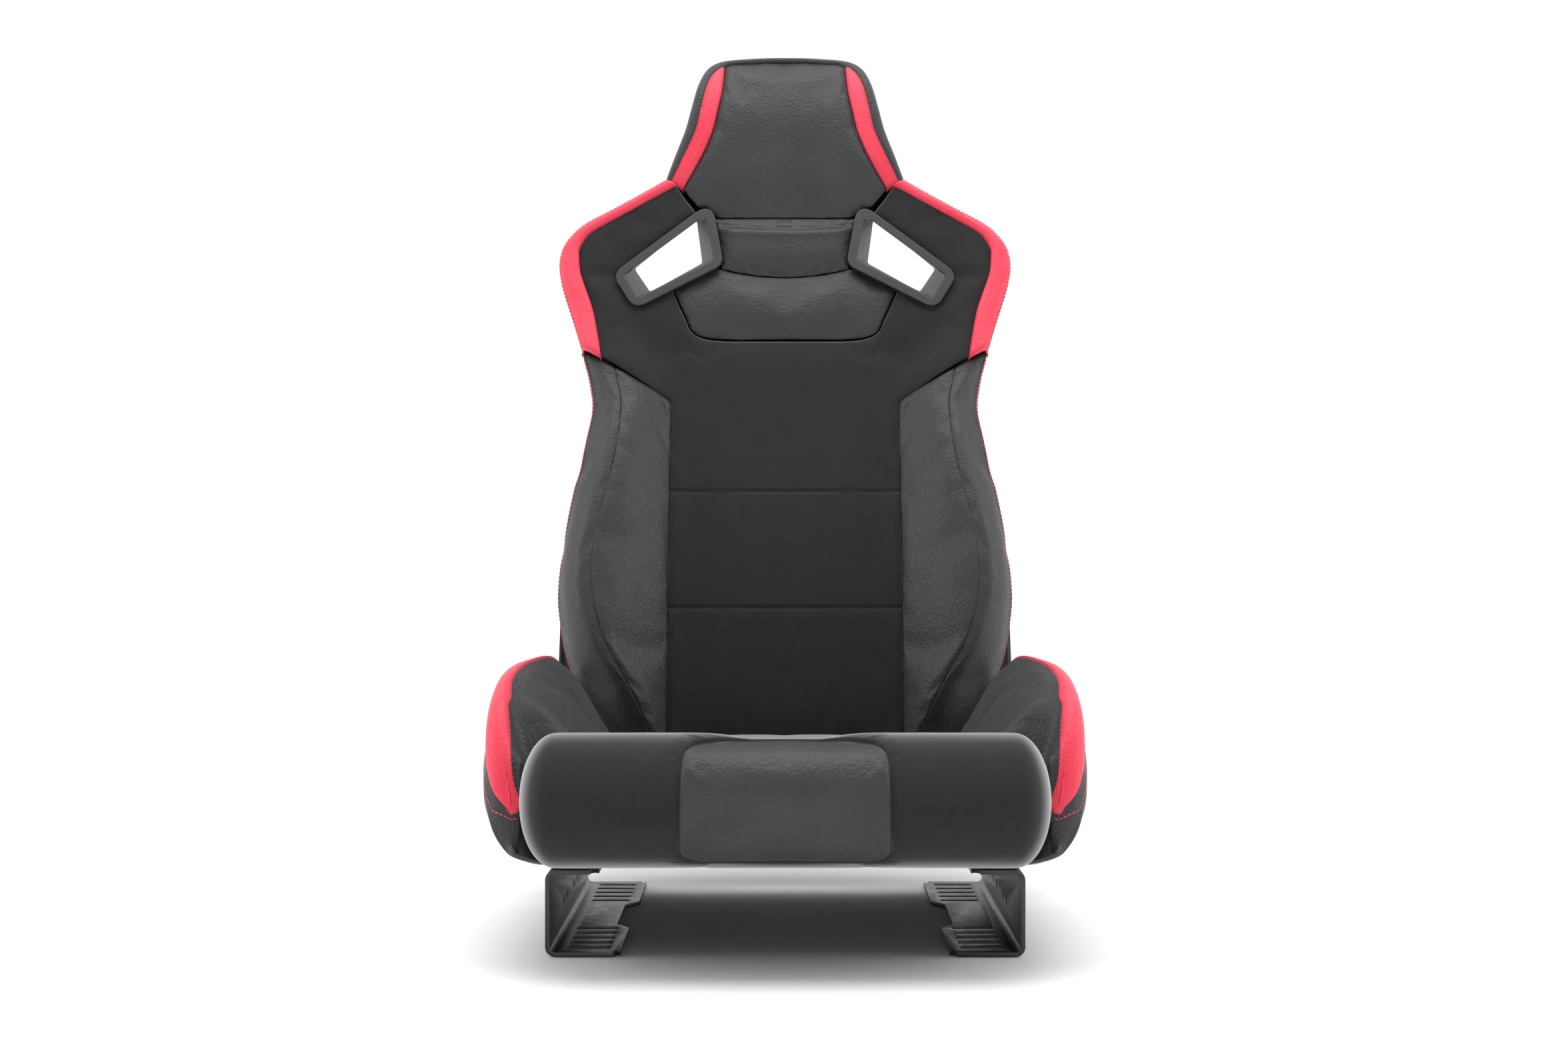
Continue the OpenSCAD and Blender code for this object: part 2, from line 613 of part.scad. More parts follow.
module wing_trim_right() { wing_trim(); }

// ---------- recliner ----------

recliner_feet = [[rear_tube[0], rear_tube[1], 20], [mid_tube[0], mid_tube[1], 20]];
module recliner_plate() {
    color(steel_c) difference() {
        x_plate(plate_x, plate_t, concat([[axis_y, axis_z, disc_r + 4]], recliner_feet));
        translate([0, axis_y, axis_z]) x_rod(plate_x - 1, plate_x + plate_t + 1, shaft_r + run_fit);
        for (t = [rear_tube, mid_tube]) translate([0, t[0], t[1]])
            x_rod(plate_x - 1, plate_x + plate_t + 1, tube_d / 2 + run_fit);
    }
}
module recliner_plate_left() { on_left() recliner_plate(); }
module recliner_plate_right() { recliner_plate(); }

boss_r = disc_r - 8;
boss_h = 3;
module fixed_disc() {
    color(steel_c) translate([0, axis_y, axis_z]) difference() {
        x_rod(fixed_x, plate_x - 0.05, disc_r);
        x_rod(fixed_x - 1, fixed_x + boss_h + 0.3, boss_r + run_fit);
        x_rod(fixed_x, plate_x + 1, shaft_r + 0.5);
    }
}
module fixed_disc_left() { on_left() fixed_disc(); }
module fixed_disc_right() { fixed_disc(); }

// The parts below turn with the backrest
module moving_disc() {
    color(steel_c) difference() {
        union() {
            x_rod(disc_x + 0.05, disc_x + disc_t, disc_r);
            x_rod(disc_x + disc_t - 0.5, fixed_x + boss_h, boss_r);
        }
        x_rod(disc_x - 1, plate_x, shaft_r + 0.5);
    }
}
module moving_disc_left() { on_back() on_left() moving_disc(); }
module moving_disc_right() { on_back() moving_disc(); }

arm_top = 180;
arm_bolt_vs = [100, 165];
module recliner_arm() {
    color(steel_c) difference() {
        union() {
            x_plate(arm_x, arm_t, [[0, 0, disc_r], [-tube_w, 30, 13]]);
            x_plate(arm_x, arm_t, [[-tube_w, 30, 13], [-tube_w, arm_top - 10, 13]]);
        }
        x_rod(arm_x - 1, arm_x + arm_t + 1, shaft_r + 2);
        for (v = arm_bolt_vs) translate([0, -tube_w, v])
            x_rod(arm_x - 1, arm_x + arm_t + 1, 4 + run_fit);
    }
}
module recliner_arm_left() { on_back() on_left() recliner_arm(); }
module recliner_arm_right() { on_back() recliner_arm(); }
module arm_bolts() {
    color(steel_c) on_back() both_sides() for (v = arm_bolt_vs) translate([0, -tube_w, v]) {
        x_rod(arm_x - 24, arm_x + arm_t + 0.1, 4);
        x_rod(arm_x + arm_t + 0.05, arm_x + arm_t + 4, 6.5);
    }
}

module recliner_cover() {
    outer = concat([[axis_y, axis_z, disc_r + 11]], [for (f = recliner_feet) f + [0, 0, 6]]);
    inner = [for (c = outer) c - [0, 0, 3]];
    color(plastic_c) difference() {
        x_plate(plate_x + 1, cover_x + cover_t - plate_x - 1, outer);
        x_plate(plate_x, cover_x + cover_t - plate_x - 3, inner);
        translate([0, axis_y, axis_z]) x_rod(cover_x, cover_x + cover_t + 1, shaft_r + 2);
    }
}
module recliner_cover_left() { on_left() recliner_cover(); }
module recliner_cover_right() { recliner_cover(); }

// Plastic plate beside the backrest's lower end, with a lip that reaches in to the shell
arm_cover_x = hip_half - 0.8;
arm_cover_t = 4.5;
lip_vs = [shell_split - 1.5, 90, 107, 124];
lip_foot = 56;
module arm_cover() {
    lip_in = concat([for (v = reversed(lip_vs)) [shell_half(v) + seam, v]],
        [[hip_half - 14, lip_vs[0]], [hip_half - 14, lip_foot]]);
    lip_out = [for (v = [lip_foot, lip_vs[3]]) [arm_cover_x + 0.5, v]];
    color(plastic_c) {
        translate([arm_cover_x, 0, 0]) rotate([90, 0, 90]) linear_extrude(arm_cover_t)
            hull() for (c = [[-1, 62], [34, 60], [34, 118], [6, 128]])
                translate(c) circle(r = 7, $fn = 24);
        translate([0, 36, 0]) rotate([90, 0, 0]) linear_extrude(40) polygon(concat(lip_out, lip_in));
        translate([0, 16, 61]) x_rod(disc_x, arm_cover_x, 5);
    }
}
module arm_cover_left() { on_back() on_left() arm_cover(); }
module arm_cover_right() { on_back() arm_cover(); }

// ---------- backrest frame ----------

hoop_r = 11;
hoop_x = arm_x - hoop_r - 0.4;
hoop_key = [[78, hoop_x], [120, hoop_x], [200, hoop_x - 8], [waist_v - 10, waist_half - 28],
    [shoulder_v - 108, shoulder_half - 57], [shoulder_v - 38, shoulder_half - 36],
    [shoulder_v + 6, shoulder_half - 31]];
hoop_side = concat([for (v = [78, 120, 160, 200, 245, 290, 330, 370, 410, 450, 485, shoulder_v + 6])
        [curve(v, hoop_key), v]],
    [[shoulder_half - 48, shoulder_v + 35], [shoulder_half - 93, shoulder_v + 65],
     [shoulder_half - 136, shoulder_v + 94], [98, join_v + 36], [86, back_len - 117],
     [68, back_len - 100], [30, back_len - 94]]);
module back_hoop() {
    side = [for (p = hoop_side) [p[0], -tube_w, p[1]]];
    other = [for (p = reversed(hoop_side)) [-p[0], -tube_w, p[1]]];
    color(black_steel_c) on_back() wire(concat(side, other), hoop_r, [0, -1, 0], 8);
}
bar_r = 8;
bar_vs = [86, 425];
module back_cross_bars() {
    color(black_steel_c) on_back() for (v = bar_vs) translate([0, -tube_w, v]) let (
        half = curve(v, hoop_key) - hoop_r + 2) x_rod(-half, half, bar_r);
}
module back_springs() {
    color(steel_c) on_back() for (v = [130, 196, 262, 330]) let (
            half = curve(v, hoop_key) - hoop_r - 1)
        wire(zigzag([-half, -tube_w, v], [half, -tube_w, v], 13, [0, 0, 1], 22), wire_d / 2, [0, -1, 0]);
}

// ---------- backrest upholstery: outlines ----------

edge_key = [[foot_v, hip_half - 62], [34, hip_half - 23.6], [62, hip_half - 11], [90, hip_half - 4.4],
    [hip_v, hip_half], [205, hip_half - 6.6], [waist_v, waist_half], [shoulder_v - 149, waist_half + 2.4],
    [shoulder_v - 105, shoulder_half - 28], [shoulder_v - 66, shoulder_half - 17],
    [shoulder_v - 28, shoulder_half - 5], [shoulder_v, shoulder_half]];
function edge(v) = curve(v, edge_key);

// Outer and inner edge of the shoulder's trim, from its slanted lower end up to the head
trim_out = [for (p = [[28, -103], [17, -66], [5, -28], [0.5, -8], [1, 11], [8, 29.5], [26.4, 49],
    [60, 68.4], [98, 90], [121, 104]]) [shoulder_half - p[0], shoulder_v + p[1]]];
trim_share = [1.12, 1.04, 1.02, 1, 0.92, 0.74, 0.56, 0.5, 0.5, 0.55];
trim_normal = [[-0.88, -0.47], [-0.96, 0.28], [-0.98, 0.2], [-1, 0], [-0.99, -0.15], [-0.85, -0.53],
    [-0.6, -0.8], [-0.5, -0.87], [-0.5, -0.87], [-0.75, -0.66]];
trim_in = [for (i = [0 : 9]) trim_out[i] + shoulder_trim_w * trim_share[i] * trim_normal[i]];

// Half width of the head's panel and of the whole head
head_len = back_len - join_v;
function up_head(share) = join_v + head_len * share;
head_key = [[join_v - 3, head_half + 46], [up_head(0.16), head_half + 29.4],
    [up_head(0.28), head_half + 19.7], [up_head(0.4), head_half + 12.3],
    [up_head(0.52), head_half + 7.8], [up_head(0.7), head_half + 2.2], [back_len - 9, head_half - 0.5]];
head_out_key = [[up_head(0.05), head_half + 62], [up_head(0.14), head_half + 56],
    [up_head(0.26), head_half + 48.5], [up_head(0.38), head_half + 42], [up_head(0.5), head_half + 37],
    [up_head(0.625), head_half + 32.6], [up_head(0.745), head_half + 27.4], [up_head(0.81), head_half + 23.6],
    [up_head(0.87), head_half + 18.3], [up_head(0.93), head_half + 9]];
function head_in(v) = curve(v, head_key);
function head_out(v) = curve(v, head_out_key);

// Forward surface: a spine curve with sides that lift
function spine(v) = curve(v, [[foot_v, 26], [60, 38], [150, lumbar_w], [250, lumbar_w - 3],
    [seam_v, lumbar_w - 7], [shoulder_v - 68, 36], [shoulder_v + 60, 38], [join_v + 36, 46],
    [join_v + 100, 50], [back_len - 22, 42],
    [back_len, 30]]);
function lift(v) = curve(v, [[foot_v, 22], [seam_v, 28], [shoulder_v - 68, 20], [shoulder_v, 14],
    [shoulder_v + 60, 10], [join_v + 40, 8], [back_len, 6]]);
function flat_half(v) = curve(v, [[foot_v, 100], [seam_v, 104], [shoulder_v - 40, 165],
    [shoulder_v + 40, 170], [join_v, 80], [join_v + 60, 30], [back_len, 30]]);
function surf(x, v) = spine(v) + lift(v) * ease((abs(x) - flat_half(v)) / 90);
function pt(x, w, v) = [x, -w, v];

function backed(face) = [for (row = face) [for (p = row) [p[0], -pad_back, p[2]]]];
// Back grid of a pad whose face also wraps round its outer side: evenly spread from edge to edge
function spread_back(face) = [for (row = face) let (n = len(row) - 1) [for (j = [0 : n]) let (
        p = mix(row[0], row[n], j / n))
    [p[0], -pad_back, p[2]]]];

// ---------- backrest upholstery: pieces ----------

// Half width of the centre panel: straight, then wider along the slanted seam to the trims
wide_v = shoulder_v - 86;
function centre_edge(v) = v < seam_v ? centre_half
    : min(centre_half + (v - seam_v) / seam_rise,
          mix(trim_in[0][0], trim_in[1][0], clamp((v - trim_in[0][1]) / (trim_in[1][1] - trim_in[0][1]))));
module centre_pad() {
    rows = concat([foot_v, foot_v + 4, 0, 40, 80, 115, 122, 129, 170, 210, 246, 253, 260, 300, 335],
        [seam_v, seam_v + 14, seam_v + 28, trim_in[0][1], wide_v - 14, wide_v - 4, wide_v]);
    last = len(rows) - 1;
    face = [for (i = [0 : last]) [for (u = across) let (
            v = rows[i],
            x = (2 * u - 1) * (centre_edge(v) - seam / 2 - (v > seam_v ? 0.3 : 0)),
            end = pow(1 - clamp(min(v - foot_v, wide_v - v) / 12), 2),
            groove = 2.5 * max(0, 1 - min(abs(v - 122), abs(v - 253)) / 6))
        pt(x, surf(x, v) - 3 * rim(u) - 4 * end - groove, v)]];
    color(fabric_c) on_back() slab(face, backed(face));
}

// Bolster: rises from the centre panel to a crest seam and rolls over to the outer edge
function crest_share(v) = curve(v, [[foot_v, 0.2], [32, 0.42], [91, 0.61], [176, 0.68], [301, 0.6],
    [420, 0.68]]);
function crest_up(v) = curve(v, [[foot_v, 14], [32, 42], [100, 58], [200, 56], [300, 42], [385, 20],
    [420, 14]]);
function edge_w(v) = curve(v, [[foot_v, 20], [34, 42], [hip_v, 60], [300, 58], [385, 46], [420, 42]]);
function bolster_x(k, v) = let (xc = centre_half + seam / 2, xe = edge(v), xs = mix(xc, xe, crest_share(v)))
    [xc, xc + 3, mix(xc, xs, 0.25), mix(xc, xs, 0.55), mix(xc, xs, 0.85), xs, mix(xs, xe, 0.3),
     mix(xs, xe, 0.7), xe - 3, xe, xe - 1, xe - 4][k];
function bolster_w(k, v) = let (w0 = surf(centre_half, v), wc = spine(v) + crest_up(v), we = edge_w(v))
    [w0 - 3, w0 + 1, mix(w0, wc, 0.24), mix(w0, wc, 0.62), mix(w0, wc, 0.96), wc - 1.5, wc + 0.5,
     mix(wc, we, 0.4), mix(wc, we, 0.82), we, we * 0.6, pad_back + 3][k];
function seam_line(x) = seam_v - seam + (x - centre_half) * seam_rise;
function bolster_top(k, n = 4) = n == 0 ? seam_v : seam_line(bolster_x(k, bolster_top(k, n - 1)));
module bolster() {
    rows = [0, 0.015, 0.06, 0.15, 0.27, 0.4, 0.54, 0.68, 0.82, 0.97, 1];
    face = [for (s = rows) [for (k = [0 : 11]) let (
            v = mix(foot_v, bolster_top(k), s),
            end = 4 * pow(1 - clamp(min(s, 1 - s) / 0.05), 2))
        pt(bolster_x(k, v), max(pad_back + 2, bolster_w(k, v) - end), v)]];
    color(leather_c) on_back() slab(face, spread_back(face));
}
module bolster_left() { on_left() bolster(); }
module bolster_right() { bolster(); }

// ---------- harness bezels ----------

// Corners of the opening's four sides, about its own middle, from the inner top round to the outer top
mouth = [[-39.5, 57], [-49, 3], [36, -43], [52, -16]];
harness_v = shoulder_v + 2;
mouth_w = 42;
collar_w = 15;           // the opening runs straight back to here, then up to the rear
tunnel_back = -(shell_d - 4);
tunnel_shift = [5, 36];
tunnel_scale = 0.78;
function line_cross(p, a, q, b) = let (d = a[0] * b[1] - a[1] * b[0], e = q - p)
    p + a * ((e[0] * b[1] - e[1] * b[0]) / d);
// Polygon with each side moved outwards by d; the corners run counter-clockwise
function grown(poly, d) = let (n = len(poly)) [for (i = [0 : n - 1]) let (
        p = poly[(i + n - 1) % n], q = poly[i], r = poly[(i + 1) % n],
        a = unit(q - p), b = unit(r - q),
        na = [a[1], -a[0]] * d, nb = [b[1], -b[0]] * d)
    line_cross(q + na, a, q + nb, b)];
// Each corner becomes an arc drawn as a quadratic curve over the distance r
function rounded(poly, r) = let (n = len(poly)) [for (i = [0 : n - 1]) for (k = [0 : 4]) let (
        q = poly[i], a = q + unit(poly[(i + n - 1) % n] - q) * r, b = q + unit(poly[(i + 1) % n] - q) * r,
        t = k / 4)
    a * (1 - t) * (1 - t) + 2 * q * t * (1 - t) + b * t * t];
function mouth_loop(d, r, w, k = 1, shift = [0, 0]) = [for (p = rounded(grown(mouth * k, d), r))
    pt(harness_x + shift[0] + p[0], w, harness_v + shift[1] + p[1])];
function tunnel_loop(d, w) = let (t = (collar_w - w) / (collar_w - tunnel_back))
    mouth_loop(d, 9, w, mix(1, tunnel_scale, t), tunnel_shift * t);
collar = 2 + bezel_t;
meet_w = -22;
module front_bezel() {
    color(plastic_c) skin([mouth_loop(bezel_flange, 14, mouth_w),
        mouth_loop(bezel_flange - 1, 14, mouth_w + 4),
        mouth_loop(2, 11, mouth_w + 5), mouth_loop(0, 9, mouth_w + 2), mouth_loop(0, 9, collar_w),
        tunnel_loop(0, meet_w), tunnel_loop(bezel_t, meet_w), tunnel_loop(bezel_t, collar_w - 1),
        mouth_loop(collar, 12, collar_w + 1),
        mouth_loop(collar, 12, mouth_w)], loop = true);
}
module rear_bezel() {
    color(plastic_c) skin([tunnel_loop(bezel_t, meet_w - 0.5), tunnel_loop(0, meet_w - 0.5),
        tunnel_loop(0, tunnel_back - 6), tunnel_loop(2, tunnel_back - 9),
        tunnel_loop(bezel_flange - 1, tunnel_back - 8), tunnel_loop(bezel_flange, tunnel_back - 5),
        tunnel_loop(bezel_t, tunnel_back - 5)], loop = true);
}
module front_bezel_left() { on_back() on_left() front_bezel(); }
module front_bezel_right() { on_back() front_bezel(); }
module rear_bezel_left() { on_back() on_left() rear_bezel(); }
module rear_bezel_right() { on_back() rear_bezel(); }

// ---------- backrest upholstery: round the harness openings ----------

middle = [harness_x, harness_v];
collar_q = [for (p = grown(mouth, collar + 1.2)) middle + p];
// Height of the collar's lower side at x, and half distance between the collars at v
function share(t, a, b) = (t - a) / (b - a);
function under_collar(x) = mix(collar_q[1][1], collar_q[2][1], share(x, collar_q[1][0], collar_q[2][0]));
function beside_collar(v) = mix(collar_q[1][0], collar_q[0][0], share(v, collar_q[1][1], collar_q[0][1]));

neck_top = shoulder_v + 59;
neck_low = shoulder_v - 12;
function neck_bottom(x) = neck_low + 11 * pow(abs(x) / 76, 2);
module neck_pad() {
    rows = [0, 0.05, 0.2, 0.45, 0.7, 0.9, 1];
    face = [for (s = rows) [for (u = across) let (
            c = 2 * u - 1,
            v0 = neck_bottom(c * 72) + seam / 2,
            v = mix(v0, neck_top - seam / 2, s),
            x = c * (beside_collar(v) - 0.5))
        pt(x, surf(x, v) + 1 - 3.5 * max(rim(u), rim(s * 0.94 + 0.03)), v)]];
    color(leather_c) on_back() slab(face, backed(face));
}

// Corners of the lower leather panel, for the right half
badge_low = [106, shoulder_v - 81];
module badge_panel() {
    rows = [0, 0.05, 0.18, 0.4, 0.65, 0.88, 1];
    cols = [0, 0.03, 0.08, 0.18, 0.3, 0.42, 0.5, 0.58, 0.7, 0.82, 0.92, 0.97, 1];
    face = [for (s = rows) [for (u = cols) let (
            c = 2 * u - 1,
            low = [c * (badge_low[0] - seam / 2), wide_v + seam / 2 + 5 * pow(abs(c), 6)],
            x1 = c * (badge_low[0] + 20),
            v1 = abs(x1) < 74 ? neck_bottom(x1) - seam / 2 : under_collar(abs(x1)) - 0.5,
            p = mix(low, [x1, v1], s))
        pt(p[0], surf(p[0], p[1]) + 1 - 3 * max(rim(u), rim(s)), p[1])]];
    color(leather_c) on_back() slab(face, backed(face));
}

// Shoulder fabric: a band that goes round the opening from the badge panel to the head
shoulder_inner = [badge_low + [20 + seam, under_collar(badge_low[0] + 20) - badge_low[1] - 0.5],
    [150, under_collar(150) - 0.5], [164, under_collar(164) - 0.5],
    collar_q[2] + [2, -1], collar_q[2] + [3, 0], mix(collar_q[2], collar_q[3], 0.3) + [1, 0],
    mix(collar_q[2], collar_q[3], 0.6) + [1, 0],
    collar_q[3] + [0, 1], mix(collar_q[3], collar_q[0], 0.33) + [0, 1],
    mix(collar_q[3], collar_q[0], 0.62) + [0, 1],
    [harness_x - 30, collar_q[0][1] - 7]];
shoulder_outer = concat([[badge_low[0] + seam, wide_v + seam], [152, wide_v + seam],
    [centre_edge(wide_v) - seam, wide_v + seam]],
    [for (i = [1 : 7]) trim_in[i] + seam * trim_normal[i]], [[head_half + 47, join_v - 4.5]]);
module shoulder_pad() {
    rows = concat([0, 0.15], [for (i = [1 : 9]) i], [9.85, 10]);
    cols = [0, 0.08, 0.35, 0.7, 0.93, 1];
    function at(path, t) = let (i = min(len(path) - 2, floor(t))) mix(path[i], path[i + 1], t - i);
    face = [for (t = rows) [for (s = cols) let (p = mix(at(shoulder_inner, t), at(shoulder_outer, t), s))
        pt(p[0], min(surf(p[0], p[1]), s < 0.3 ? mouth_w - 4 : 99) - 3 * max(rim(s), rim(t / 10)), p[1])]];
    color(fabric_c) on_back() slab(face, backed(face));
}
module shoulder_pad_left() { on_left() shoulder_pad(); }
module shoulder_pad_right() { shoulder_pad(); }

module shoulder_trim() {
    rows = concat([0, 0.1], [for (i = [1 : 8]) i], [8.9, 9]);
    cols = [0, 0.06, 0.3, 0.65, 0.92, 1, 0.97];
    function at(path, t) = let (i = min(len(path) - 2, floor(t))) mix(path[i], path[i + 1], t - i);
    face = [for (t = rows) [for (j = [0 : 6]) let (
            s = cols[j],
            end = t < 0.01 ? [0, seam / 2 + s] : t > 8.99 ? [seam / 2, -seam] : [0, 0],
            p = mix(at(trim_in, t), at(trim_out, t), s) + end,
            round_off = [0, 0, 0.5, 1.5, 7, 14, 0][j])
        pt(p[0], j == 6 ? pad_back + 4 : surf(p[0], p[1]) + 2 - round_off - 2.5 * rim(s * 0.5)
            - 2 * rim(t / 9) * (j < 6 ? 1 : 0), p[1])]];
    color(red_c) on_back() slab(face, spread_back(face));
}
module shoulder_trim_left() { on_left() shoulder_trim(); }
module shoulder_trim_right() { shoulder_trim(); }

function head_bottom(x) = let (a = abs(x)) a < 78 ? neck_top + seam / 2
    : a < 84 ? mix(neck_top + seam / 2, neck_top + 12.5, (a - 78) / 6)
    : a < 98 ? neck_top + 12.5
    : mix(neck_top + 12.5, join_v - 3.5, clamp((a - 98) / (head_half + 46 - 98)));
head_rows = [0, 0.04, 0.14, 0.3, 0.5, 0.7, 0.86, 0.96, 1];
module head_pad() {
    cols = [0, 0.04, 0.1, 0.15, 0.3, 0.5, 0.7, 0.85, 0.9, 0.96, 1];
    face = [for (s = head_rows) [for (u = cols) let (
            c = 2 * u - 1,
            v0 = head_bottom(c * (head_half + 45.5)),
            v1 = back_len - 9 * c * c,
            v = mix(v0, v1, s),
            side = mix(join_v - 3.5, back_len - 9, s),
            x = c * (head_in(side) - seam / 2))
        pt(x, surf(x, v) - 3 * rim(u) - 5 * rim(s), v)]];
    color(leather_c) on_back() slab(face, backed(face));
}
module head_trim() {
    face = [for (s = head_rows) [for (j = [0 : 6]) let (
            t = [0, 0.06, 0.35, 0.7, 0.95, 1, 0.97][j],
            side = mix(join_v - 3.5, back_len - 9, s),
            top = mix(join_v + 10, back_len - 14, s),
            x = mix(head_in(side) + seam / 2, head_out(top), t),
            v = mix(side, top, t) + (s < 0.01 ? seam : 0))
        pt(x, j == 6 ? pad_back + 4 : surf(x, v) - [3, 0.5, 1, 3, 9, 16, 0][j] - 2 * rim(s), v)]];
    color(red_c) on_back() slab(face, spread_back(face));
}
module head_trim_left() { on_left() head_trim(); }
module head_trim_right() { head_trim(); }

// ---------- backrest shell ----------

shell_outline = concat([for (k = edge_key) if (k[0] > shell_split) [k[0], k[1] - 3]],
    [for (p = trim_out) if (p[1] > shoulder_v + 2) [p[1], p[0] - 3]],
    [for (k = head_out_key) if (k[0] > up_head(0.12)) [k[0], k[1] - 3]], [[back_len - 5, head_half - 12]]);
function shell_half(v) = lookup(v, shell_outline);
function shell_back(v) = -curve(v, [[foot_v, -4], [foot_v + 6, 22], [foot_v + 16, shell_d - 10],
    [60, shell_d], [300, shell_d], [shoulder_v - 80, shell_d - 4],
    [join_v, shell_d - 4], [up_head(0.485), shell_d - 14], [up_head(0.82), 20], [up_head(0.93), 4],
    [back_len - 5, -5]]);
shell_section = [[-1, 0], [-1, 0.4], [-0.975, 0.74], [-0.9, 0.94], [-0.76, 1], [-0.4, 1], [0, 1], [0.4, 1],
    [0.76, 1], [0.9, 0.94], [0.975, 0.74], [1, 0.4], [1, 0]];
rim_w = pad_back - 1;
module tray(rows, half, wall) {
    inner = [for (v = rows) [for (c = shell_section)
        pt(c[0] * (half(v) - wall), mix(rim_w, min(rim_w - 1, shell_back(v) + wall), c[1]), v)]];
    outer = [for (v = rows) [for (c = shell_section)
        pt(c[0] * half(v), mix(rim_w, min(rim_w - 1, shell_back(v)), c[1]), v)]];
    slab(inner, outer);
}
module upper_shell() {
    rows = concat([shell_split, 90, hip_v, 170, 205, 270, waist_v, 400, 440, shoulder_v - 40, shoulder_v],
        [for (i = [5 : 8]) trim_out[i][1]],
        [up_head(0.06), up_head(0.14), up_head(0.26), up_head(0.48), up_head(0.745), up_head(0.855),
         up_head(0.93), back_len - 5]);
    half = function (v) shell_half(v);
    color(plastic_c) on_back() difference() {
        tray(rows, half, shell_t);
        both_sides() skin([tunnel_loop(bezel_t + 0.8, tunnel_back - 14), tunnel_loop(bezel_t + 0.8, meet_w)]);
    }
}
module lower_shell() {
    rows = [foot_v, foot_v + 6, foot_v + 16, 0, 15, 40, shell_split - 0.6];
    low = [[foot_v, hip_half - 76], [0, hip_half - 52], [40, hip_half - 42], [shell_split, hip_half - 38]];
    half = function (v) lookup(v, low);
    color(plastic_c) on_back() difference() {
        tray(rows, half, shell_t);
        x_rod(-hip_half, hip_half, shaft_r + 3);
    }
}

// ---------- recline release ----------

lever_wall = 3;
shaft_end = lever_x + lever_t - lever_wall - 0.1;
screw_r = 3;
screw_reach = 12;
module release_shaft() {
    color(steel_c) translate([0, axis_y, axis_z]) difference() {
        x_rod(-shaft_end, shaft_end, shaft_r);
        both_sides() x_rod(shaft_end - screw_reach - 2, shaft_end + 1, screw_r + run_fit);
    }
}
lever_angle = 25;
module release_lever() {
    tip = lever_len * [-cos(lever_angle), sin(lever_angle)];
    color(plastic_c) translate([0, axis_y, axis_z]) difference() {
        union() {
            x_rod(lever_x, lever_x + lever_t, 17);
            x_plate(lever_x + 1, lever_t - 3, [[0, 0, 13], [tip[0], tip[1], 9]]);
        }
        x_rod(lever_x - 1, lever_x + lever_t - lever_wall, shaft_r + run_fit);
        x_rod(lever_x, lever_x + lever_t + 1, screw_r + run_fit);
    }
}
module release_lever_left() { on_left() release_lever(); }
module release_lever_right() { release_lever(); }
module lever_screws() {
    color(steel_c) translate([0, axis_y, axis_z]) both_sides() {
        x_rod(shaft_end - screw_reach, lever_x + lever_t + 0.1, screw_r);
        x_rod(lever_x + lever_t + 0.05, lever_x + lever_t + 3, 6);
    }
}

bracket_left();
bracket_right();
seat_bolts();
weld_nuts();
seat_spacers();
side_rail_left();
side_rail_right();
mid_cross_tube();
rear_cross_tube();
front_tube();
front_arm_left();
front_arm_right();
base_springs();
under_cover();
seat_cushion();
thigh_roll();
roll_panel();
wing_left();
wing_right();
wing_trim_left();
wing_trim_right();
recliner_plate_left();
recliner_plate_right();
fixed_disc_left();
fixed_disc_right();
recliner_cover_left();
recliner_cover_right();
recliner_arm_left();
recliner_arm_right();
moving_disc_left();
moving_disc_right();
arm_bolts();
arm_cover_left();
arm_cover_right();
back_hoop();
back_cross_bars();
back_springs();
centre_pad();
bolster_left();
bolster_right();
shoulder_pad_left();
shoulder_pad_right();
badge_panel();
neck_pad();
head_pad();
shoulder_trim_left();
shoulder_trim_right();
head_trim_left();
head_trim_right();
front_bezel_left();
front_bezel_right();
rear_bezel_left();
rear_bezel_right();
upper_shell();
lower_shell();
release_shaft();
release_lever_left();
release_lever_right();
lever_screws();
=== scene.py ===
import json
import math

import bmesh
import bpy
import numpy as np
from mathutils import Matrix, Vector
from mathutils.bvhtree import BVHTree


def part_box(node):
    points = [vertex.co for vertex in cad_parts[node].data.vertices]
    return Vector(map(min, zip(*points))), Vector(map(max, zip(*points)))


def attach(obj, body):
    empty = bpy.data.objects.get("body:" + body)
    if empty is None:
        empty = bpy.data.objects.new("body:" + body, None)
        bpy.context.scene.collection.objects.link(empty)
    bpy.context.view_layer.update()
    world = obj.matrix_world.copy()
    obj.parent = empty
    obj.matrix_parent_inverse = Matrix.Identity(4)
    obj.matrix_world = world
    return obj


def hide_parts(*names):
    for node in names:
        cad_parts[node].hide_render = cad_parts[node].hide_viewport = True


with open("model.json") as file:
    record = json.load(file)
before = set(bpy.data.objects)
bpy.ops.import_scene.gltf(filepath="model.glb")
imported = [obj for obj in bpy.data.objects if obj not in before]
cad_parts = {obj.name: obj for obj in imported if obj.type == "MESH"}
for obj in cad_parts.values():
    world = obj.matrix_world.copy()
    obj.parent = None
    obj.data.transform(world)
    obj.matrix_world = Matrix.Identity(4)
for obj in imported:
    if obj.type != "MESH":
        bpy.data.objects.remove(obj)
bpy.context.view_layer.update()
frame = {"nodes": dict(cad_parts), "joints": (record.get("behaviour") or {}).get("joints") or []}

# Sizes are millimetres and degrees unless a name says otherwise; mm turns them into metres.
mm = 0.001
nodes = frame["nodes"]
bpy.ops.object.select_all(action="DESELECT")


# Curves

def clamp(t):
    return min(1.0, max(0.0, t))


def ease(t):
    c = clamp(t)
    return c * c * (3 - 2 * c)


def mix(a, b, t):
    return a + (b - a) * t


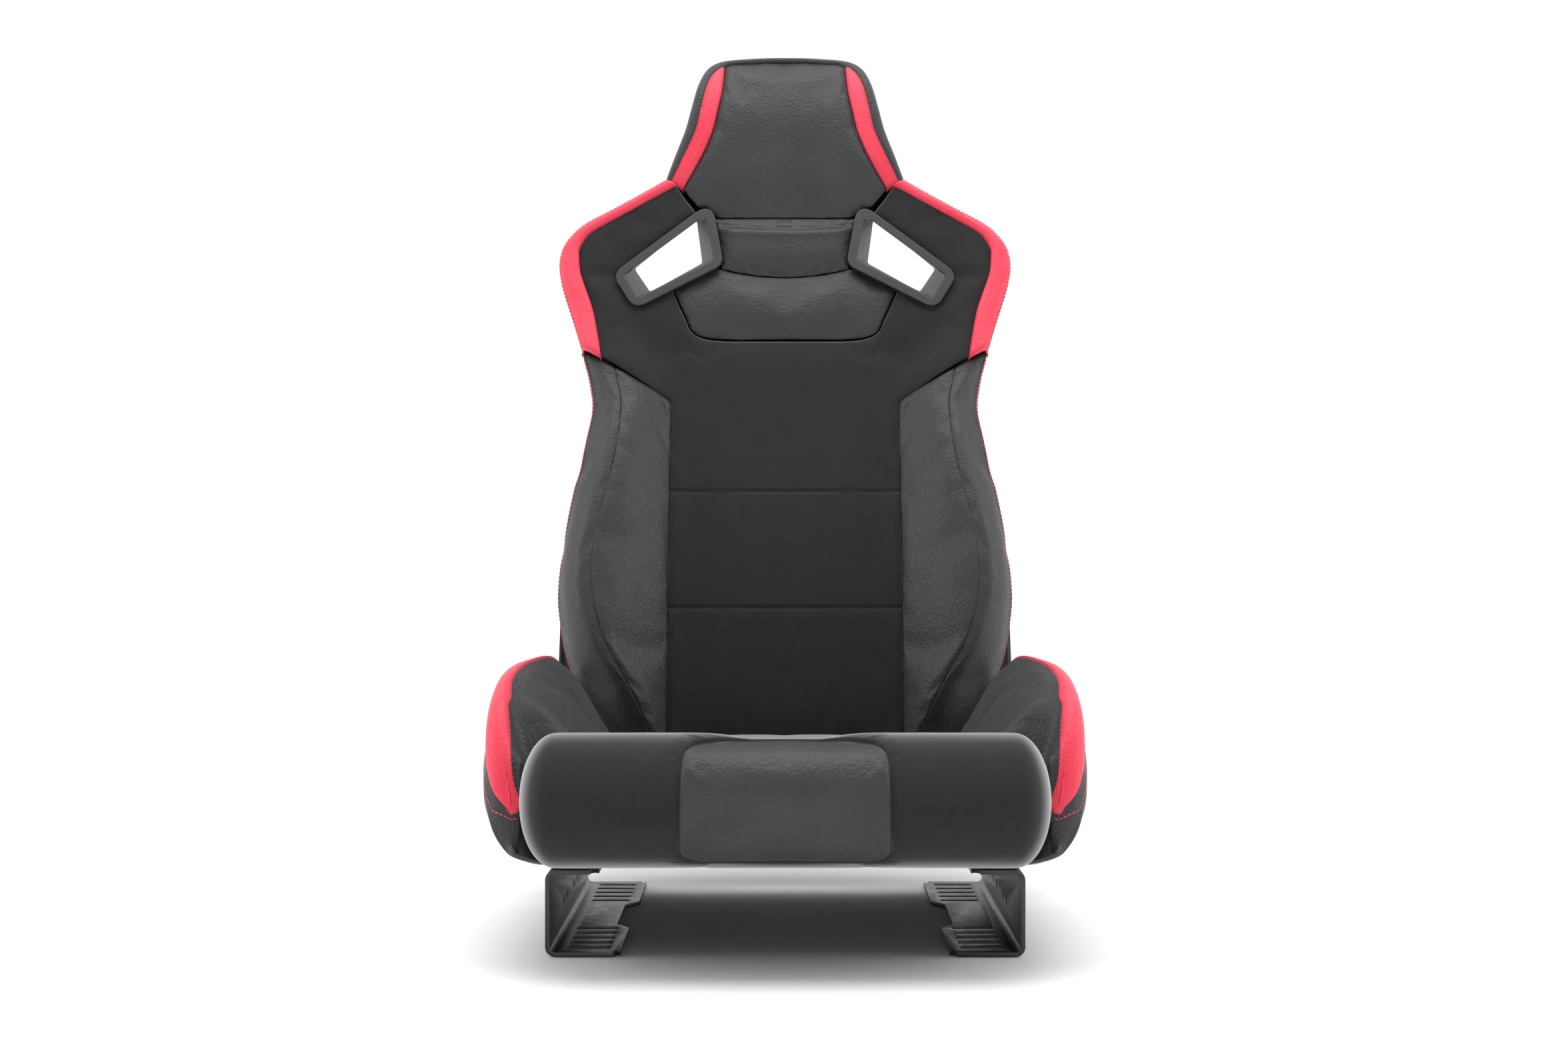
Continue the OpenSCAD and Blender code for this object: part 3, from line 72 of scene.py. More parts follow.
def curve(t, table):
    # smooth curve through rows of (key, value), flat past both ends
    last = len(table) - 1
    i = 0
    while i < last - 1 and t >= table[i + 1][0]:
        i += 1

    def slope(k):
        a, b = table[max(0, k - 1)], table[min(last, k + 1)]
        return (b[1] - a[1]) / (b[0] - a[0])

    h = table[i + 1][0] - table[i][0]
    s = clamp((t - table[i][0]) / h)
    return ((2 * s**3 - 3 * s**2 + 1) * table[i][1] + (s**3 - 2 * s**2 + s) * h * slope(i)
            + (3 * s**2 - 2 * s**3) * table[i + 1][1] + (s**3 - s**2) * h * slope(i + 1))


def along(points, t, loop=False):
    # Catmull-Rom curve through points, at t counted in points
    n = len(points)
    i = math.floor(t) if loop else min(n - 2, max(0, math.floor(t)))
    s = t - i

    def at(k):
        return points[k % n] if loop else points[min(n - 1, max(0, k))]

    p0, p1, p2, p3 = (np.array(at(i + k), float) for k in (-1, 0, 1, 2))
    return 0.5 * (2 * p1 + (p2 - p0) * s + (2 * p0 - 5 * p1 + 4 * p2 - p3) * s * s
                  + (3 * p1 - p0 - 3 * p2 + p3) * s**3)


def spread(a, b, count, crowd=0.75):
    # values from a to b that lie closer together near both ends
    turns = [k / count for k in range(count + 1)]
    return [mix(a, b, mix(t, (1 - math.cos(math.pi * t)) / 2, crowd)) for t in turns]


def evenly(a, b, count):
    return [mix(a, b, k / count) for k in range(count + 1)]


# Meshes

def newPiece(name, points, faces):
    mesh = bpy.data.meshes.new(name)
    mesh.from_pydata([tuple(p) for p in points], [], faces)
    mesh.update()
    piece = bpy.data.objects.new(name, mesh)
    bpy.context.scene.collection.objects.link(piece)
    mesh.shade_smooth()
    return piece


def gridFaces(rows, columns, start=0, wrap=False):
    faces = []
    for i in range(rows - 1):
        for j in range(columns if wrap else columns - 1):
            k = (j + 1) % columns
            a = start + i * columns
            faces.append((a + j, a + k, a + columns + k, a + columns + j))
    return faces


def rowsOf(down, across, spot):
    # one row for each value down, with spot(down, across) for each value across
    return [[spot(a, b) for b in across] for a in down]


def sheetOf(name, rows):
    return newPiece(name, [p for row in rows for p in row], gridFaces(len(rows), len(rows[0])))


def applyAll(piece):
    for modifier in list(piece.modifiers):
        with bpy.context.temp_override(object=piece, active_object=piece, selected_objects=[piece]):
            bpy.ops.object.modifier_apply(modifier=modifier.name)


def subdivide(piece, levels=1):
    modifier = piece.modifiers.new("smooth", "SUBSURF")
    modifier.levels = modifier.render_levels = levels


def thicken(piece, wall):
    # the wall grows inwards from the face that shows
    modifier = piece.modifiers.new("wall", "SOLIDIFY")
    modifier.thickness = wall * mm
    modifier.offset = -1


def roundEdges(piece, width, segments=2, angle=35):
    modifier = piece.modifiers.new("edges", "BEVEL")
    modifier.width = width * mm
    modifier.segments = segments
    modifier.limit_method = "ANGLE"
    modifier.angle_limit = math.radians(angle)
    modifier.harden_normals = True
    piece.data.shade_smooth()


def mirrored(piece, name):
    copy = piece.copy()
    copy.data = piece.data.copy()
    copy.name = name
    bpy.context.scene.collection.objects.link(copy)
    copy.data.transform(Matrix.Scale(-1, 4, (1, 0, 0)))
    copy.data.flip_normals()
    return copy


def turnOutwards(piece):
    shape = bmesh.new()
    shape.from_mesh(piece.data)
    bmesh.ops.remove_doubles(shape, verts=shape.verts, dist=0.01 * mm)
    bmesh.ops.recalc_face_normals(shape, faces=shape.faces)
    shape.to_mesh(piece.data)
    shape.free()
    piece.data.shade_smooth()


def facing(piece, way):
    # turns a sheet's faces to look the given way
    total = sum((face.normal * face.area for face in piece.data.polygons), Vector())
    if total.dot(Vector(way)) < 0:
        piece.data.flip_normals()
    return piece


def settle(piece, body, slot, material, stands=(), fill=None):
    piece.data.materials.clear()
    piece.data.materials.append(material)
    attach(piece, body)
    if stands:
        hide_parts(*stands)
    return piece


# Seat sizes, shared by the upholstery

seat = {"lean": 15, "backLength": 779, "hip": 242.5, "waist": 212.5, "shoulder": 253.5, "head": 70,
        "centre": 127, "foot": -30, "shoulderHeight": 518, "seamHeight": 359, "seamRise": 0.583, "padBack": 8,
        "trimWidth": 22}
recline = next(joint for joint in frame["joints"] if joint["name"] == "recline")["pos_m"]
leanSine, leanCosine = math.sin(math.radians(seat["lean"])), math.cos(math.radians(seat["lean"]))
shoulderV = seat["shoulderHeight"]
joinV = shoulderV + 96
wideV = shoulderV - 86
topV = seat["backLength"]
footV = seat["foot"]
neckTop = shoulderV + 59


def onBack(x, w, v):
    # across, forward of the recline axis and up the leaning backrest
    return Vector((x * mm, recline[1] - (w * leanCosine - v * leanSine) * mm,
                   recline[2] + (w * leanSine + v * leanCosine) * mm))


def spine(v):
    # how far the middle of the padding stands forward of the recline axis
    return curve(v, [(footV, 26), (60, 38), (150, 42), (250, 39), (359, 35), (450, 36), (578, 38), (650, 46),
                     (714, 50), (757, 42), (topV, 30)])


def surf(x, v):
    # the padding rises towards both sides, and least at the neck
    lift = curve(v, [(footV, 22), (359, 28), (450, 20), (518, 14), (578, 10), (654, 8), (topV, 6)])
    level = curve(v, [(footV, 100), (359, 104), (478, 165), (558, 170), (joinV, 80), (674, 30), (topV, 30)])
    return spine(v) + lift * ease((abs(x) - level) / 90)


def edge(v):
    # half the width of the backrest
    hip, waist, shoulder = seat["hip"], seat["waist"], seat["shoulder"]
    return curve(v, [(footV, hip - 62), (34, hip - 23.6), (62, hip - 11), (90, hip - 4.4), (134, hip),
                     (205, hip - 6.6), (340, waist), (369, waist + 2.4), (413, shoulder - 28),
                     (452, shoulder - 17), (490, shoulder - 5), (518, shoulder)])


trimOutPoints = [(seat["shoulder"] - a, shoulderV + b) for a, b in
                 [(28, -103), (17, -66), (5, -28), (0.5, -8), (1, 11), (8, 29.5), (26.4, 49), (60, 68.4),
                  (98, 90), (121, 104)]]
# width and direction of the trim at each of these points
trimShare = [1.12, 1.04, 1.02, 1, 0.92, 0.74, 0.56, 0.5, 0.5, 0.55]
trimNormal = [(-0.88, -0.47), (-0.96, 0.28), (-0.98, 0.2), (-1, 0), (-0.99, -0.15), (-0.85, -0.53),
              (-0.6, -0.8), (-0.5, -0.87), (-0.5, -0.87), (-0.75, -0.66)]
trimInPoints = [(p[0] + seat["trimWidth"] * share * n[0], p[1] + seat["trimWidth"] * share * n[1])
                for p, share, n in zip(trimOutPoints, trimShare, trimNormal)]


def trimIn(t):
    return along(trimInPoints, t)


def trimOut(t):
    return along(trimOutPoints, t)


def trimTurn(v):
    # where on the trim's lowest stretch its inner edge reaches height v
    low, high = 0.0, 1.0
    for _ in range(30):
        middle = (low + high) / 2
        if trimIn(middle)[1] < v:
            low = middle
        else:
            high = middle
    return low


def headIn(v):
    half = seat["head"]
    return curve(v, [(joinV - 3, half + 46), (640, half + 29.4), (660, half + 19.7), (680, half + 12.3),
                     (700, half + 7.8), (729, half + 2.2), (topV - 9, half - 0.5)])


def topLine(x):
    # lower edge of the badge panel, and on past its corners
    a = abs(x)
    return wideV + 12 * (a / 106) ** 10 if a < 106 else wideV + 12 * (1 - ease((a - 106) / 40))


def neckBottom(x):
    return shoulderV - 12 + 11 * (abs(x) / 76) ** 2


# Harness mouths

mouth = {"corners": [(-39.5, 57), (-49, 3), (36, -43), (52, -16)], "middle": (129, shoulderV + 2),
         "exit": [(-26, 82.2), (-33.5, 25.8), (26.4, -9.7), (44.9, 18.6)],
         "rear": [(-25.7, 96), (-33.8, 36.6), (28.8, -0.6), (49, 30.4)], "collar": 5, "flange": 10}


def grown(corners, by):
    moved = []
    count = len(corners)
    for i in range(count):
        p, q, r = (np.array(corners[(i + k) % count], float) for k in (-1, 0, 1))
        a, b = (q - p) / np.linalg.norm(q - p), (r - q) / np.linalg.norm(r - q)
        pa, qb = q + by * np.array((a[1], -a[0])), q + by * np.array((b[1], -b[0]))
        t = ((qb - pa)[0] * b[1] - (qb - pa)[1] * b[0]) / (a[0] * b[1] - a[1] * b[0])
        moved.append(pa + t * a)
    return moved


collarCorners = [np.array(mouth["middle"]) + p for p in grown(mouth["corners"], mouth["collar"] + 1.2)]


def underCollar(x):
    a, b = collarCorners[1], collarCorners[2]
    return mix(a[1], b[1], (x - a[0]) / (b[0] - a[0]))


def besideCollar(v):
    a, b = collarCorners[1], collarCorners[0]
    return mix(a[0], b[0], (v - a[1]) / (b[1] - a[1]))


# Padded sheets

def pin(piece, members):
    # the air pressure can't move these corners
    group = piece.vertex_groups.new(name="sewn")
    group.add([int(k) for k in members], 1.0, "REPLACE")


def borderOf(faces):
    uses = {}
    for face in faces:
        for a, b in zip(face, face[1:] + face[:1]):
            key = (min(a, b), max(a, b))
            uses[key] = uses.get(key, 0) + 1
    return [key for key, count in uses.items() if count == 1]


def distanceTo(points, segments):
    # shortest distance from each flat point to the segments
    best = np.full(len(points), 1e9)
    for a, b in segments:
        line = b - a
        t = np.clip(((points - a) @ line) / max(line @ line, 1e-9), 0, 1)
        best = np.minimum(best, np.linalg.norm(points - a - t[:, None] * line, axis=1))
    return best


def paddedSheet(name, patches, place):
    # welds flat patches of (x, v) rows into one sheet; place gives a point from x, v and its border distance
    found, flat, faces = {}, [], []
    for rows in patches:
        ids = []
        for row in rows:
            for p in row:
                key = (round(float(p[0]), 1), round(float(p[1]), 1))
                if key not in found:
                    found[key] = len(flat)
                    flat.append((float(p[0]), float(p[1])))
                ids.append(found[key])
        for face in gridFaces(len(rows), len(rows[0])):
            corners = []
            for k in face:
                if ids[k] not in corners:
                    corners.append(ids[k])
            if len(corners) > 2:
                faces.append(tuple(corners))
    flat = np.array(flat)
    border = borderOf(faces)
    distance = distanceTo(flat, [(flat[a], flat[b]) for a, b in border])
    piece = newPiece(name, [place(p[0], p[1], d) for p, d in zip(flat, distance)], faces)
    pin(piece, sorted({k for pair in border for k in pair}))
    return piece


def tucked(rows, sides):
    # one more row or column past each named side, 2.2 mm on and 5 mm deeper, so that no gap shows at a seam
    inwards = (onBack(0, -1, 0) - onBack(0, 0, 0)) * 5

    def past(edge, inner):
        return [a + (a - b).normalized() * 2.2 * mm + inwards for a, b in zip(edge, inner)]

    if "first" in sides:
        rows = [past(rows[0], rows[1])] + rows
    if "last" in sides:
        rows = rows + [past(rows[-1], rows[-2])]
    if "left" in sides:
        column = past([row[0] for row in rows], [row[1] for row in rows])
        rows = [[p] + row for p, row in zip(column, rows)]
    if "right" in sides:
        column = past([row[-1] for row in rows], [row[-2] for row in rows])
        rows = [row + [p] for p, row in zip(column, rows)]
    return rows


def puff(pieces, frames=20):
    # each sheet swells under air pressure between its sewn edges, by no more than its cap
    rests = {}
    for piece, pressure, cap, slack in pieces:
        cloth = piece.modifiers.new("cloth", "CLOTH")
        settings = cloth.settings
        settings.quality = 6
        settings.mass = 0.3
        settings.tension_stiffness = settings.compression_stiffness = 15
        settings.bending_stiffness = 1.5
        settings.use_pressure = True
        settings.uniform_pressure_force = pressure
        settings.shrink_min = -slack
        settings.vertex_group_mass = "sewn"
        settings.pin_stiffness = 1
        settings.effector_weights.gravity = 0
        cloth.point_cache.frame_end = frames
        rests[piece.name] = np.array([v.co for v in piece.data.vertices])
    for step in range(1, frames + 1):
        bpy.context.scene.frame_set(step)
    for piece, pressure, cap, slack in pieces:
        applyAll(piece)
        rest = rests[piece.name]
        moved = np.array([v.co for v in piece.data.vertices]) - rest
        length = np.linalg.norm(moved, axis=1)
        limit = cap * mm
        share = np.where(length > 1e-9, limit * np.tanh(length / limit) / np.maximum(length, 1e-9), 0)
        piece.data.vertices.foreach_set("co", (rest + moved * share[:, None]).ravel())
        piece.data.update()
        print("swelled", piece.name, "by up to", round(float(length.max()) * 1000, 1), "mm")
    bpy.context.scene.frame_set(1)


def dip(distance, depth, width):
    return depth * (1 - clamp(distance / width)) ** 2


def groove(x, at, depth, width):
    return depth * max(0.0, 1 - abs(x - at) / width)


# Materials

def linear(hexColour):
    parts = [int(hexColour[k:k + 2], 16) / 255 for k in (1, 3, 5)]
    return tuple(c / 12.92 if c <= 0.04045 else ((c + 0.055) / 1.055) ** 2.4 for c in parts) + (1.0,)


def addNode(tree, kind, settings=None, links=None):
    # a link comes from a socket, or from a node's first one
    node = tree.nodes.new("ShaderNode" + kind)
    for key, value in (settings or {}).items():
        if isinstance(key, int) or key in node.inputs:
            node.inputs[key].default_value = value
        else:
            setattr(node, key, value)
    for key, source in (links or {}).items():
        socket = source if isinstance(source, bpy.types.NodeSocket) else source.outputs[0]
        tree.links.new(socket, node.inputs[key])
    return node


def startMaterial(name, clouds, **sockets):
    # clouds are the noise patterns it needs: (width of one blot in mm, detail, roughness) for each name
    material = bpy.data.materials.new(name)
    material.use_nodes = True
    tree = material.node_tree
    for key, value in sockets.items():
        tree.nodes["Principled BSDF"].inputs[key.replace("_", " ")].default_value = value
    place = addNode(tree, "TexCoord").outputs["Object"]
    patterns = {}
    for key, (width, detail, rough) in clouds.items():
        settings = {"Scale": 1 / (width * mm), "Detail": detail, "Roughness": rough}
        patterns[key] = addNode(tree, "TexNoise", settings, {"Vector": place})
    return material, tree, place, patterns


def finishMaterial(material, tone, dark, light, bumps, shine=None):
    # the colour follows the tone pattern; bumps are (pattern, depth in mm, strength) from the coarsest to the
    # finest; shine is (pattern, its low and high end, and the roughness at each)
    tree = material.node_tree
    shader = tree.nodes["Principled BSDF"]
    ramp = addNode(tree, "ValToRGB", {}, {"Fac": tone})
    for stop, position, colour in zip(ramp.color_ramp.elements, (0.3, 0.7), (dark, light)):
        stop.position = position
        stop.color = linear(colour)
    tree.links.new(ramp.outputs["Color"], shader.inputs["Base Color"])
    links = {}
    for pattern, depth, strength in bumps:
        bump = addNode(tree, "Bump", {"Strength": strength, "Distance": depth * mm},
                       {"Height": pattern, **links})
        links = {"Normal": bump}
    tree.links.new(bump.outputs["Normal"], shader.inputs["Normal"])
    if shine:
        pattern, low, high, atLow, atHigh = shine
        ends = {"From Min": low, "From Max": high, "To Min": atLow, "To Max": atHigh}
        rough = addNode(tree, "MapRange", ends, {"Value": pattern})
        tree.links.new(rough.outputs["Result"], shader.inputs["Roughness"])
    return material


# Polyurethane leather, embossed: pebbled grain with soft creases, a low sheen that the grain breaks up.
# The grain is drawn about twice as coarse as the real one, so that it shows.
def leatherMaterial(name, dark, light, rough, grain=2.7, crease=0.35, depth=0.35):
    clouds = {"tone": (45, 3.0, 0.55), "creases": (26, 4.0, 0.6), "pores": (0.9, 2.0, 0.55)}
    material, tree, place, patterns = startMaterial(name, clouds, Specular_IOR_Level=0.32, Sheen_Weight=0.06)
    drift = addNode(tree, "TexNoise", {"Scale": 320.0}, {"Vector": place}).outputs["Color"]
    warped = addNode(tree, "Mix", {"data_type": "VECTOR", "Factor": 0.0015}, {4: place, 5: drift}).outputs[1]
    cells = addNode(tree, "TexVoronoi", {"feature": "SMOOTH_F1", "Scale": 1 / (grain * mm),
                                         "Smoothness": 0.7}, {"Vector": warped})
    pebbles = addNode(tree, "MapRange", {"From Max": 0.8, "To Min": 1.0, "To Max": 0.0}, {"Value": cells})
    bumps = [(patterns["creases"], crease * 8, 0.3), (patterns["pores"], 0.05, 0.5), (pebbles, depth, 1.0)]
    return finishMaterial(material, patterns["tone"], dark, light, bumps,
                          (cells, 0.1, 0.7, rough - 0.05, rough + 0.09))


# Microfibre suede: short brushed pile, dark when seen straight on. Where it is seen edge-on, the base colour
# is painted pale, a painted sheen on top of the shader's own sheen.
def suedeMaterial(name, dark, light, paintedSheenColour):
    clouds = {"pile": (0.7, 3.0, 0.7), "strokes": (22, 4.0, 0.65)}
    material, tree, place, patterns = startMaterial(name, clouds, Roughness=0.95, Specular_IOR_Level=0.15,
                                                    Sheen_Weight=1.0, Sheen_Roughness=0.35,
                                                    Sheen_Tint=linear("#d8d8da"))
    pile, strokes = patterns["pile"], patterns["strokes"]
    fibres = addNode(tree, "Math", {"operation": "MULTIPLY_ADD", 1: 0.35, 2: 0.325}, {0: pile})
    both = addNode(tree, "Math", {"operation": "MULTIPLY_ADD", 1: 0.5}, {0: strokes, 2: fibres})
    tone = addNode(tree, "MapRange", {"From Min": 0.5, "From Max": 1.0, "To Min": 0.2, "To Max": 0.8},
                   {"Value": both})
    finishMaterial(material, tone, dark, light, [(strokes, 0.5, 0.25), (pile, 0.18, 0.6)])
    # painted sheen: the base colour fades towards a pale colour as the surface turns edge-on to the view
    slant = addNode(tree, "LayerWeight", {"Blend": 0.5}).outputs["Facing"]
    slant = addNode(tree, "MapRange", {"From Min": 0.45, "From Max": 1.0}, {"Value": slant})
    share = addNode(tree, "Math", {"operation": "POWER", 1: 1.5}, {0: slant})
    base = tree.nodes["Principled BSDF"].inputs["Base Color"]
    colour = addNode(tree, "Mix", {"data_type": "RGBA", 7: linear(paintedSheenColour)},
                     {"Factor": share, 6: base.links[0].from_socket})
    tree.links.new(colour.outputs[2], base)
    return material


# ABS, injection moulded in a spark-eroded tool: an even fine stipple that keeps it satin.
def mouldedMaterial(name, dark, light, rough):
    clouds = {"tone": (60, 3.0, 0.55), "stipple": (0.9, 2.0, 0.6)}
    material, tree, place, patterns = startMaterial(name, clouds, IOR=1.54)
    return finishMaterial(material, patterns["tone"], dark, light, [(patterns["stipple"], 0.05, 0.5)],
                          (patterns["stipple"], 0.3, 0.7, rough - 0.04, rough + 0.06))


# Steel under black powder coat: satin, with the coat's faint orange peel.
def powderMaterial(name, dark, light, rough):
    clouds = {"tone": (35, 3.0, 0.55), "peel": (2.2, 2.0, 0.5), "handling": (9, 3.0, 0.55)}
    material, tree, place, patterns = startMaterial(name, clouds, IOR=1.5)
    return finishMaterial(material, patterns["tone"], dark, light, [(patterns["peel"], 0.06, 0.5)],
                          (patterns["handling"], 0.3, 0.7, rough - 0.05, rough + 0.05))


# Zinc-plated steel: bright grey with faint drawing lines and duller patches.
def zincMaterial(name, dark, light):
    clouds = {"tone": (14, 3.0, 0.55), "lines": (6, 3.0, 0.55)}
    material, tree, place, patterns = startMaterial(name, clouds, Metallic=1.0)
    drawn = addNode(tree, "Mapping", {"Scale": (1.0, 1.0, 12.0)}, {"Vector": place})
    tree.links.new(drawn.outputs[0], patterns["lines"].inputs["Vector"])
    return finishMaterial(material, patterns["tone"], dark, light, [(patterns["lines"], 0.02, 0.4)],
                          (patterns["lines"], 0.3, 0.7, 0.28, 0.42))


# Polyester sewing thread: two twisted plies with a dull silk gloss.
def threadMaterial(name, dark, light):
    material, tree, place, patterns = startMaterial(name, {}, Roughness=0.55, Sheen_Weight=0.3)
    plies = addNode(tree, "TexWave", {"Scale": 300.0, "Distortion": 1.5, "bands_direction": "DIAGONAL"},
                    {"Vector": place}).outputs["Fac"]
    return finishMaterial(material, plies, dark, light, [(plies, 0.12, 0.7)])


blackLeather = leatherMaterial("embossed_black_leather", "#2e2e2f", "#353536", 0.4)
redLeather = leatherMaterial("embossed_coral_leather", "#ee3c54", "#f6485f", 0.42, 2.4, 0.2, 0.3)
# the suede's last colour is its painted sheen, where it is seen edge-on
blackSuede = suedeMaterial("brushed_black_suede", "#2c2c2d", "#313132", "#a2a2a4")
blackPlastic = mouldedMaterial("moulded_black_abs", "#262627", "#2e2e2f", 0.42)
shellPlastic = mouldedMaterial("moulded_shell_abs", "#1e1e1f", "#262627", 0.5)
blackSteel = powderMaterial("black_powder_coat", "#232324", "#2b2b2c", 0.4)
zincSteel = zincMaterial("zinc_plated_steel", "#a9adb1", "#c6cacd")
redThread = threadMaterial("coral_thread", "#c02a3e", "#f04a60")
darkRedThread = threadMaterial("dark_coral_thread", "#8c1c2c", "#c43348")
print("materials made")


# Camera, light and floor

camera = bpy.data.cameras.new("camera")
camera.lens = 50
camera.sensor_width = 36
camera.shift_y = 3 / 2352  # the horizon lies 3 pixels of 2352 under the middle
viewer = bpy.data.objects.new("camera", camera)
viewer.location = (-0.0011, -2.153, 0.389)
viewer.rotation_euler = (math.radians(90), 0, 0)
bpy.context.scene.collection.objects.link(viewer)
bpy.context.scene.camera = viewer
bpy.context.scene.view_settings.view_transform = "Standard"

studio = {"zenith": 1.2, "horizon": 0.1, "top": 38.0, "side": 16.0, "rear": 4.0, "front": 6.0,
          "floor": "#fafafa", "floorLift": 1.14, "haze": 0.6, "hazeFrom": 1.1, "hazeTo": 2.6}


def seenDirectly(tree):
    # 1 for what the camera sees, itself or in a glossy surface
    rays = addNode(tree, "LightPath").outputs
    return addNode(tree, "Math", {"operation": "MAXIMUM"},
                   {0: rays["Is Camera Ray"], 1: rays["Is Glossy Ray"]})


world = bpy.data.worlds.new("studio")
bpy.context.scene.world = world
world.use_nodes = True
sky = world.node_tree
way = addNode(sky, "SeparateXYZ", {}, {"Vector": addNode(sky, "TexCoord").outputs["Generated"]})
dome = addNode(sky, "MapRange", {"From Min": 0.4, "From Max": 0.95, "To Min": studio["horizon"],
                                 "To Max": studio["zenith"]}, {"Value": way.outputs["Z"]})
level = addNode(sky, "Mix", {"B": 1.0}, {"Factor": seenDirectly(sky), "A": dome})
sky.links.new(level.outputs["Result"], sky.nodes["Background"].inputs["Strength"])
sky.nodes["Background"].inputs["Color"].default_value = (1, 1, 1, 1)


def areaLamp(name, place, aim, size, power):
    lamp = bpy.data.lights.new(name, "AREA")
    lamp.shape = "RECTANGLE"
    lamp.size, lamp.size_y = size
    lamp.energy = power
    holder = bpy.data.objects.new(name, lamp)
    holder.location = place
    holder.rotation_euler = (Vector(aim) - Vector(place)).to_track_quat("-Z", "Y").to_euler()
    bpy.context.scene.collection.objects.link(holder)


areaLamp("top_lamp", (0, -0.3, 2.6), (0, 0.05, 0.4), (2.4, 1.6), studio["top"])
for side in (-1, 1):
    areaLamp("side_lamp", (side * 2.2, -0.2, 1.2), (0, 0.1, 0.45), (0.7, 1.8), studio["side"])
    areaLamp("rear_lamp", (side * 1.3, 1.7, 2.5), (0, 0.2, 0.5), (0.8, 1.2), studio["rear"])
areaLamp("front_lamp", (0, -2.8, 0.35), (0, 0.1, 0.4), (2.2, 0.5), studio["front"])

bpy.ops.mesh.primitive_plane_add(size=16, location=(0, 0, -0.0005))
floor = bpy.context.active_object
floor.name = "studio_floor"
floorPaint, floorTree, floorPlace, _ = startMaterial("matt_white_floor", {}, Roughness=0.9,
                                                     Specular_IOR_Level=0.1, Emission_Color=(1, 1, 1, 1))
floorShader = floorTree.nodes["Principled BSDF"]
floorSeen = seenDirectly(floorTree)
white = addNode(floorTree, "MapRange", {"To Min": linear(studio["floor"])[0], "To Max": studio["floorLift"]},
                {"Value": floorSeen})
floorTree.links.new(white.outputs["Result"], floorShader.inputs["Base Color"])
# far off, the floor fades to white
reach = addNode(floorTree, "VectorMath", {"operation": "LENGTH"}, {0: floorPlace}).outputs["Value"]
haze = addNode(floorTree, "MapRange", {"From Min": studio["hazeFrom"], "From Max": studio["hazeTo"],
                                       "To Max": studio["haze"]}, {"Value": reach})
glow = addNode(floorTree, "Math", {"operation": "MULTIPLY"}, {0: haze, 1: floorSeen})
floorTree.links.new(glow.outputs[0], floorShader.inputs["Emission Strength"])
floor.data.materials.append(floorPaint)
print("camera, lamps and floor placed")


# Suede of the centre and shoulders: one piece that goes round the harness bezels

fabric = {"seams": (122, 253), "seamDepth": 1.6, "dip": 3.2, "dipWidth": 9, "wall": 14, "bezelRise": 4,
          "bezelReach": 62, "bezelFade": 55, "thinnestRow": 1.3}
# folds at the shoulder's outer corner: height, then place and reach across and up
shoulderFolds = [(-2.4, 206, 13, 505, 8), (1.2, 205, 15, 521, 9)]
badgeCorner = 106
trimStart = trimTurn(wideV)


def centreEdge(v):
    straight = seat["centre"]
    if v < seat["seamHeight"]:
        return straight
    return min(straight + (v - seat["seamHeight"]) / seat["seamRise"], trimIn(trimTurn(v))[0])


c0, c1, c2, c3 = collarCorners
shoulderInnerPoints = [(126.6, underCollar(126.6) - 0.5), (150, underCollar(150) - 0.5),
                       c2 + (-3.6, 1.4), c2 + (-2.6, 1), c2 + (2, 2.8), mix(c2, c3, 0.3) + (1, 0),
                       mix(c2, c3, 0.6) + (1, 0), c3 + (0, 1), mix(c3, c0, 0.33) + (0, 1),
                       mix(c3, c0, 0.62) + (0, 1), (99, c0[1] - 7)]


def shoulderInner(t):
    k = min(9, math.floor(t))
    return mix(np.array(shoulderInnerPoints[k]), np.array(shoulderInnerPoints[k + 1]), t - k)


def shoulderOuter(t):
    if t <= 2:
        end = trimIn(trimStart)[0]
        x = mix(badgeCorner, 152, t) if t < 1 else mix(152, end, t - 1)
        return np.array((x, topLine(x)))
    if t < 3:
        return trimIn(mix(trimStart, 1, t - 2))
    return trimIn(t - 2) if t < 9 else trimIn(7 + 2 * (t - 9))


def fabricPlace(x, v, distance):
    a = abs(x)
    w = surf(x, v) - dip(distance, fabric["dip"], fabric["dipWidth"])
    past = math.dist((a, v), mouth["middle"]) - fabric["bezelReach"]
    w += fabric["bezelRise"] * (1 - ease(past / fabric["bezelFade"]))
    for height, x0, wide, v0, high in shoulderFolds:
        w += height * math.exp(-((a - x0) / wide) ** 2 - ((v - v0) / high) ** 2)
    if a <= centreEdge(v):
        for at in fabric["seams"]:
            w -= groove(v, at, fabric["seamDepth"], 3.2)
    return onBack(x, w, v)


def makeFabric():
    turns = spread(0, 2, 14, 0.8) + spread(2, 9, 52, 0.2)[1:] + spread(9, 10, 9, 0.7)[1:]
    shares = spread(0, 1, 15, 0.8)
    band = [[mix(shoulderInner(t), shoulderOuter(t), s) for s in shares] for t in turns]
    other = [[(-p[0], p[1]) for p in reversed(row)] for row in band]
    tops = [shoulderOuter(t)[0] for t in turns if t <= 2]
    tops = [-x for x in reversed(tops)] + spread(-badgeCorner, badgeCorner, 36)[1:-1] + tops
    heights = {footV, wideV, seat["seamHeight"], 403.4}
    for at in fabric["seams"]:
        heights.update(at + k for k in (-5, -3, -1.4, 0, 1.4, 3, 5))
    for v in spread(footV, wideV, 62, 0.35):
        # a thinner row would crumple in the simulation
        if min(abs(v - near) for near in heights) > fabric["thinnestRow"]:
            heights.add(v)
    heights = sorted(heights)
    widest = tops[-1]
    centre = []
    for v in heights:
        share = (v - footV) / (wideV - footV)
        row = []
        for top in tops:
            row.append((top / widest * centreEdge(mix(footV, wideV, share)), mix(footV, topLine(top), share)))
        centre.append(row)
    return paddedSheet("suede_back_panel", [centre, band, other], fabricPlace)


backPanel = makeFabric()
print("back panel shaped")


# Leather panels between the harness bezels

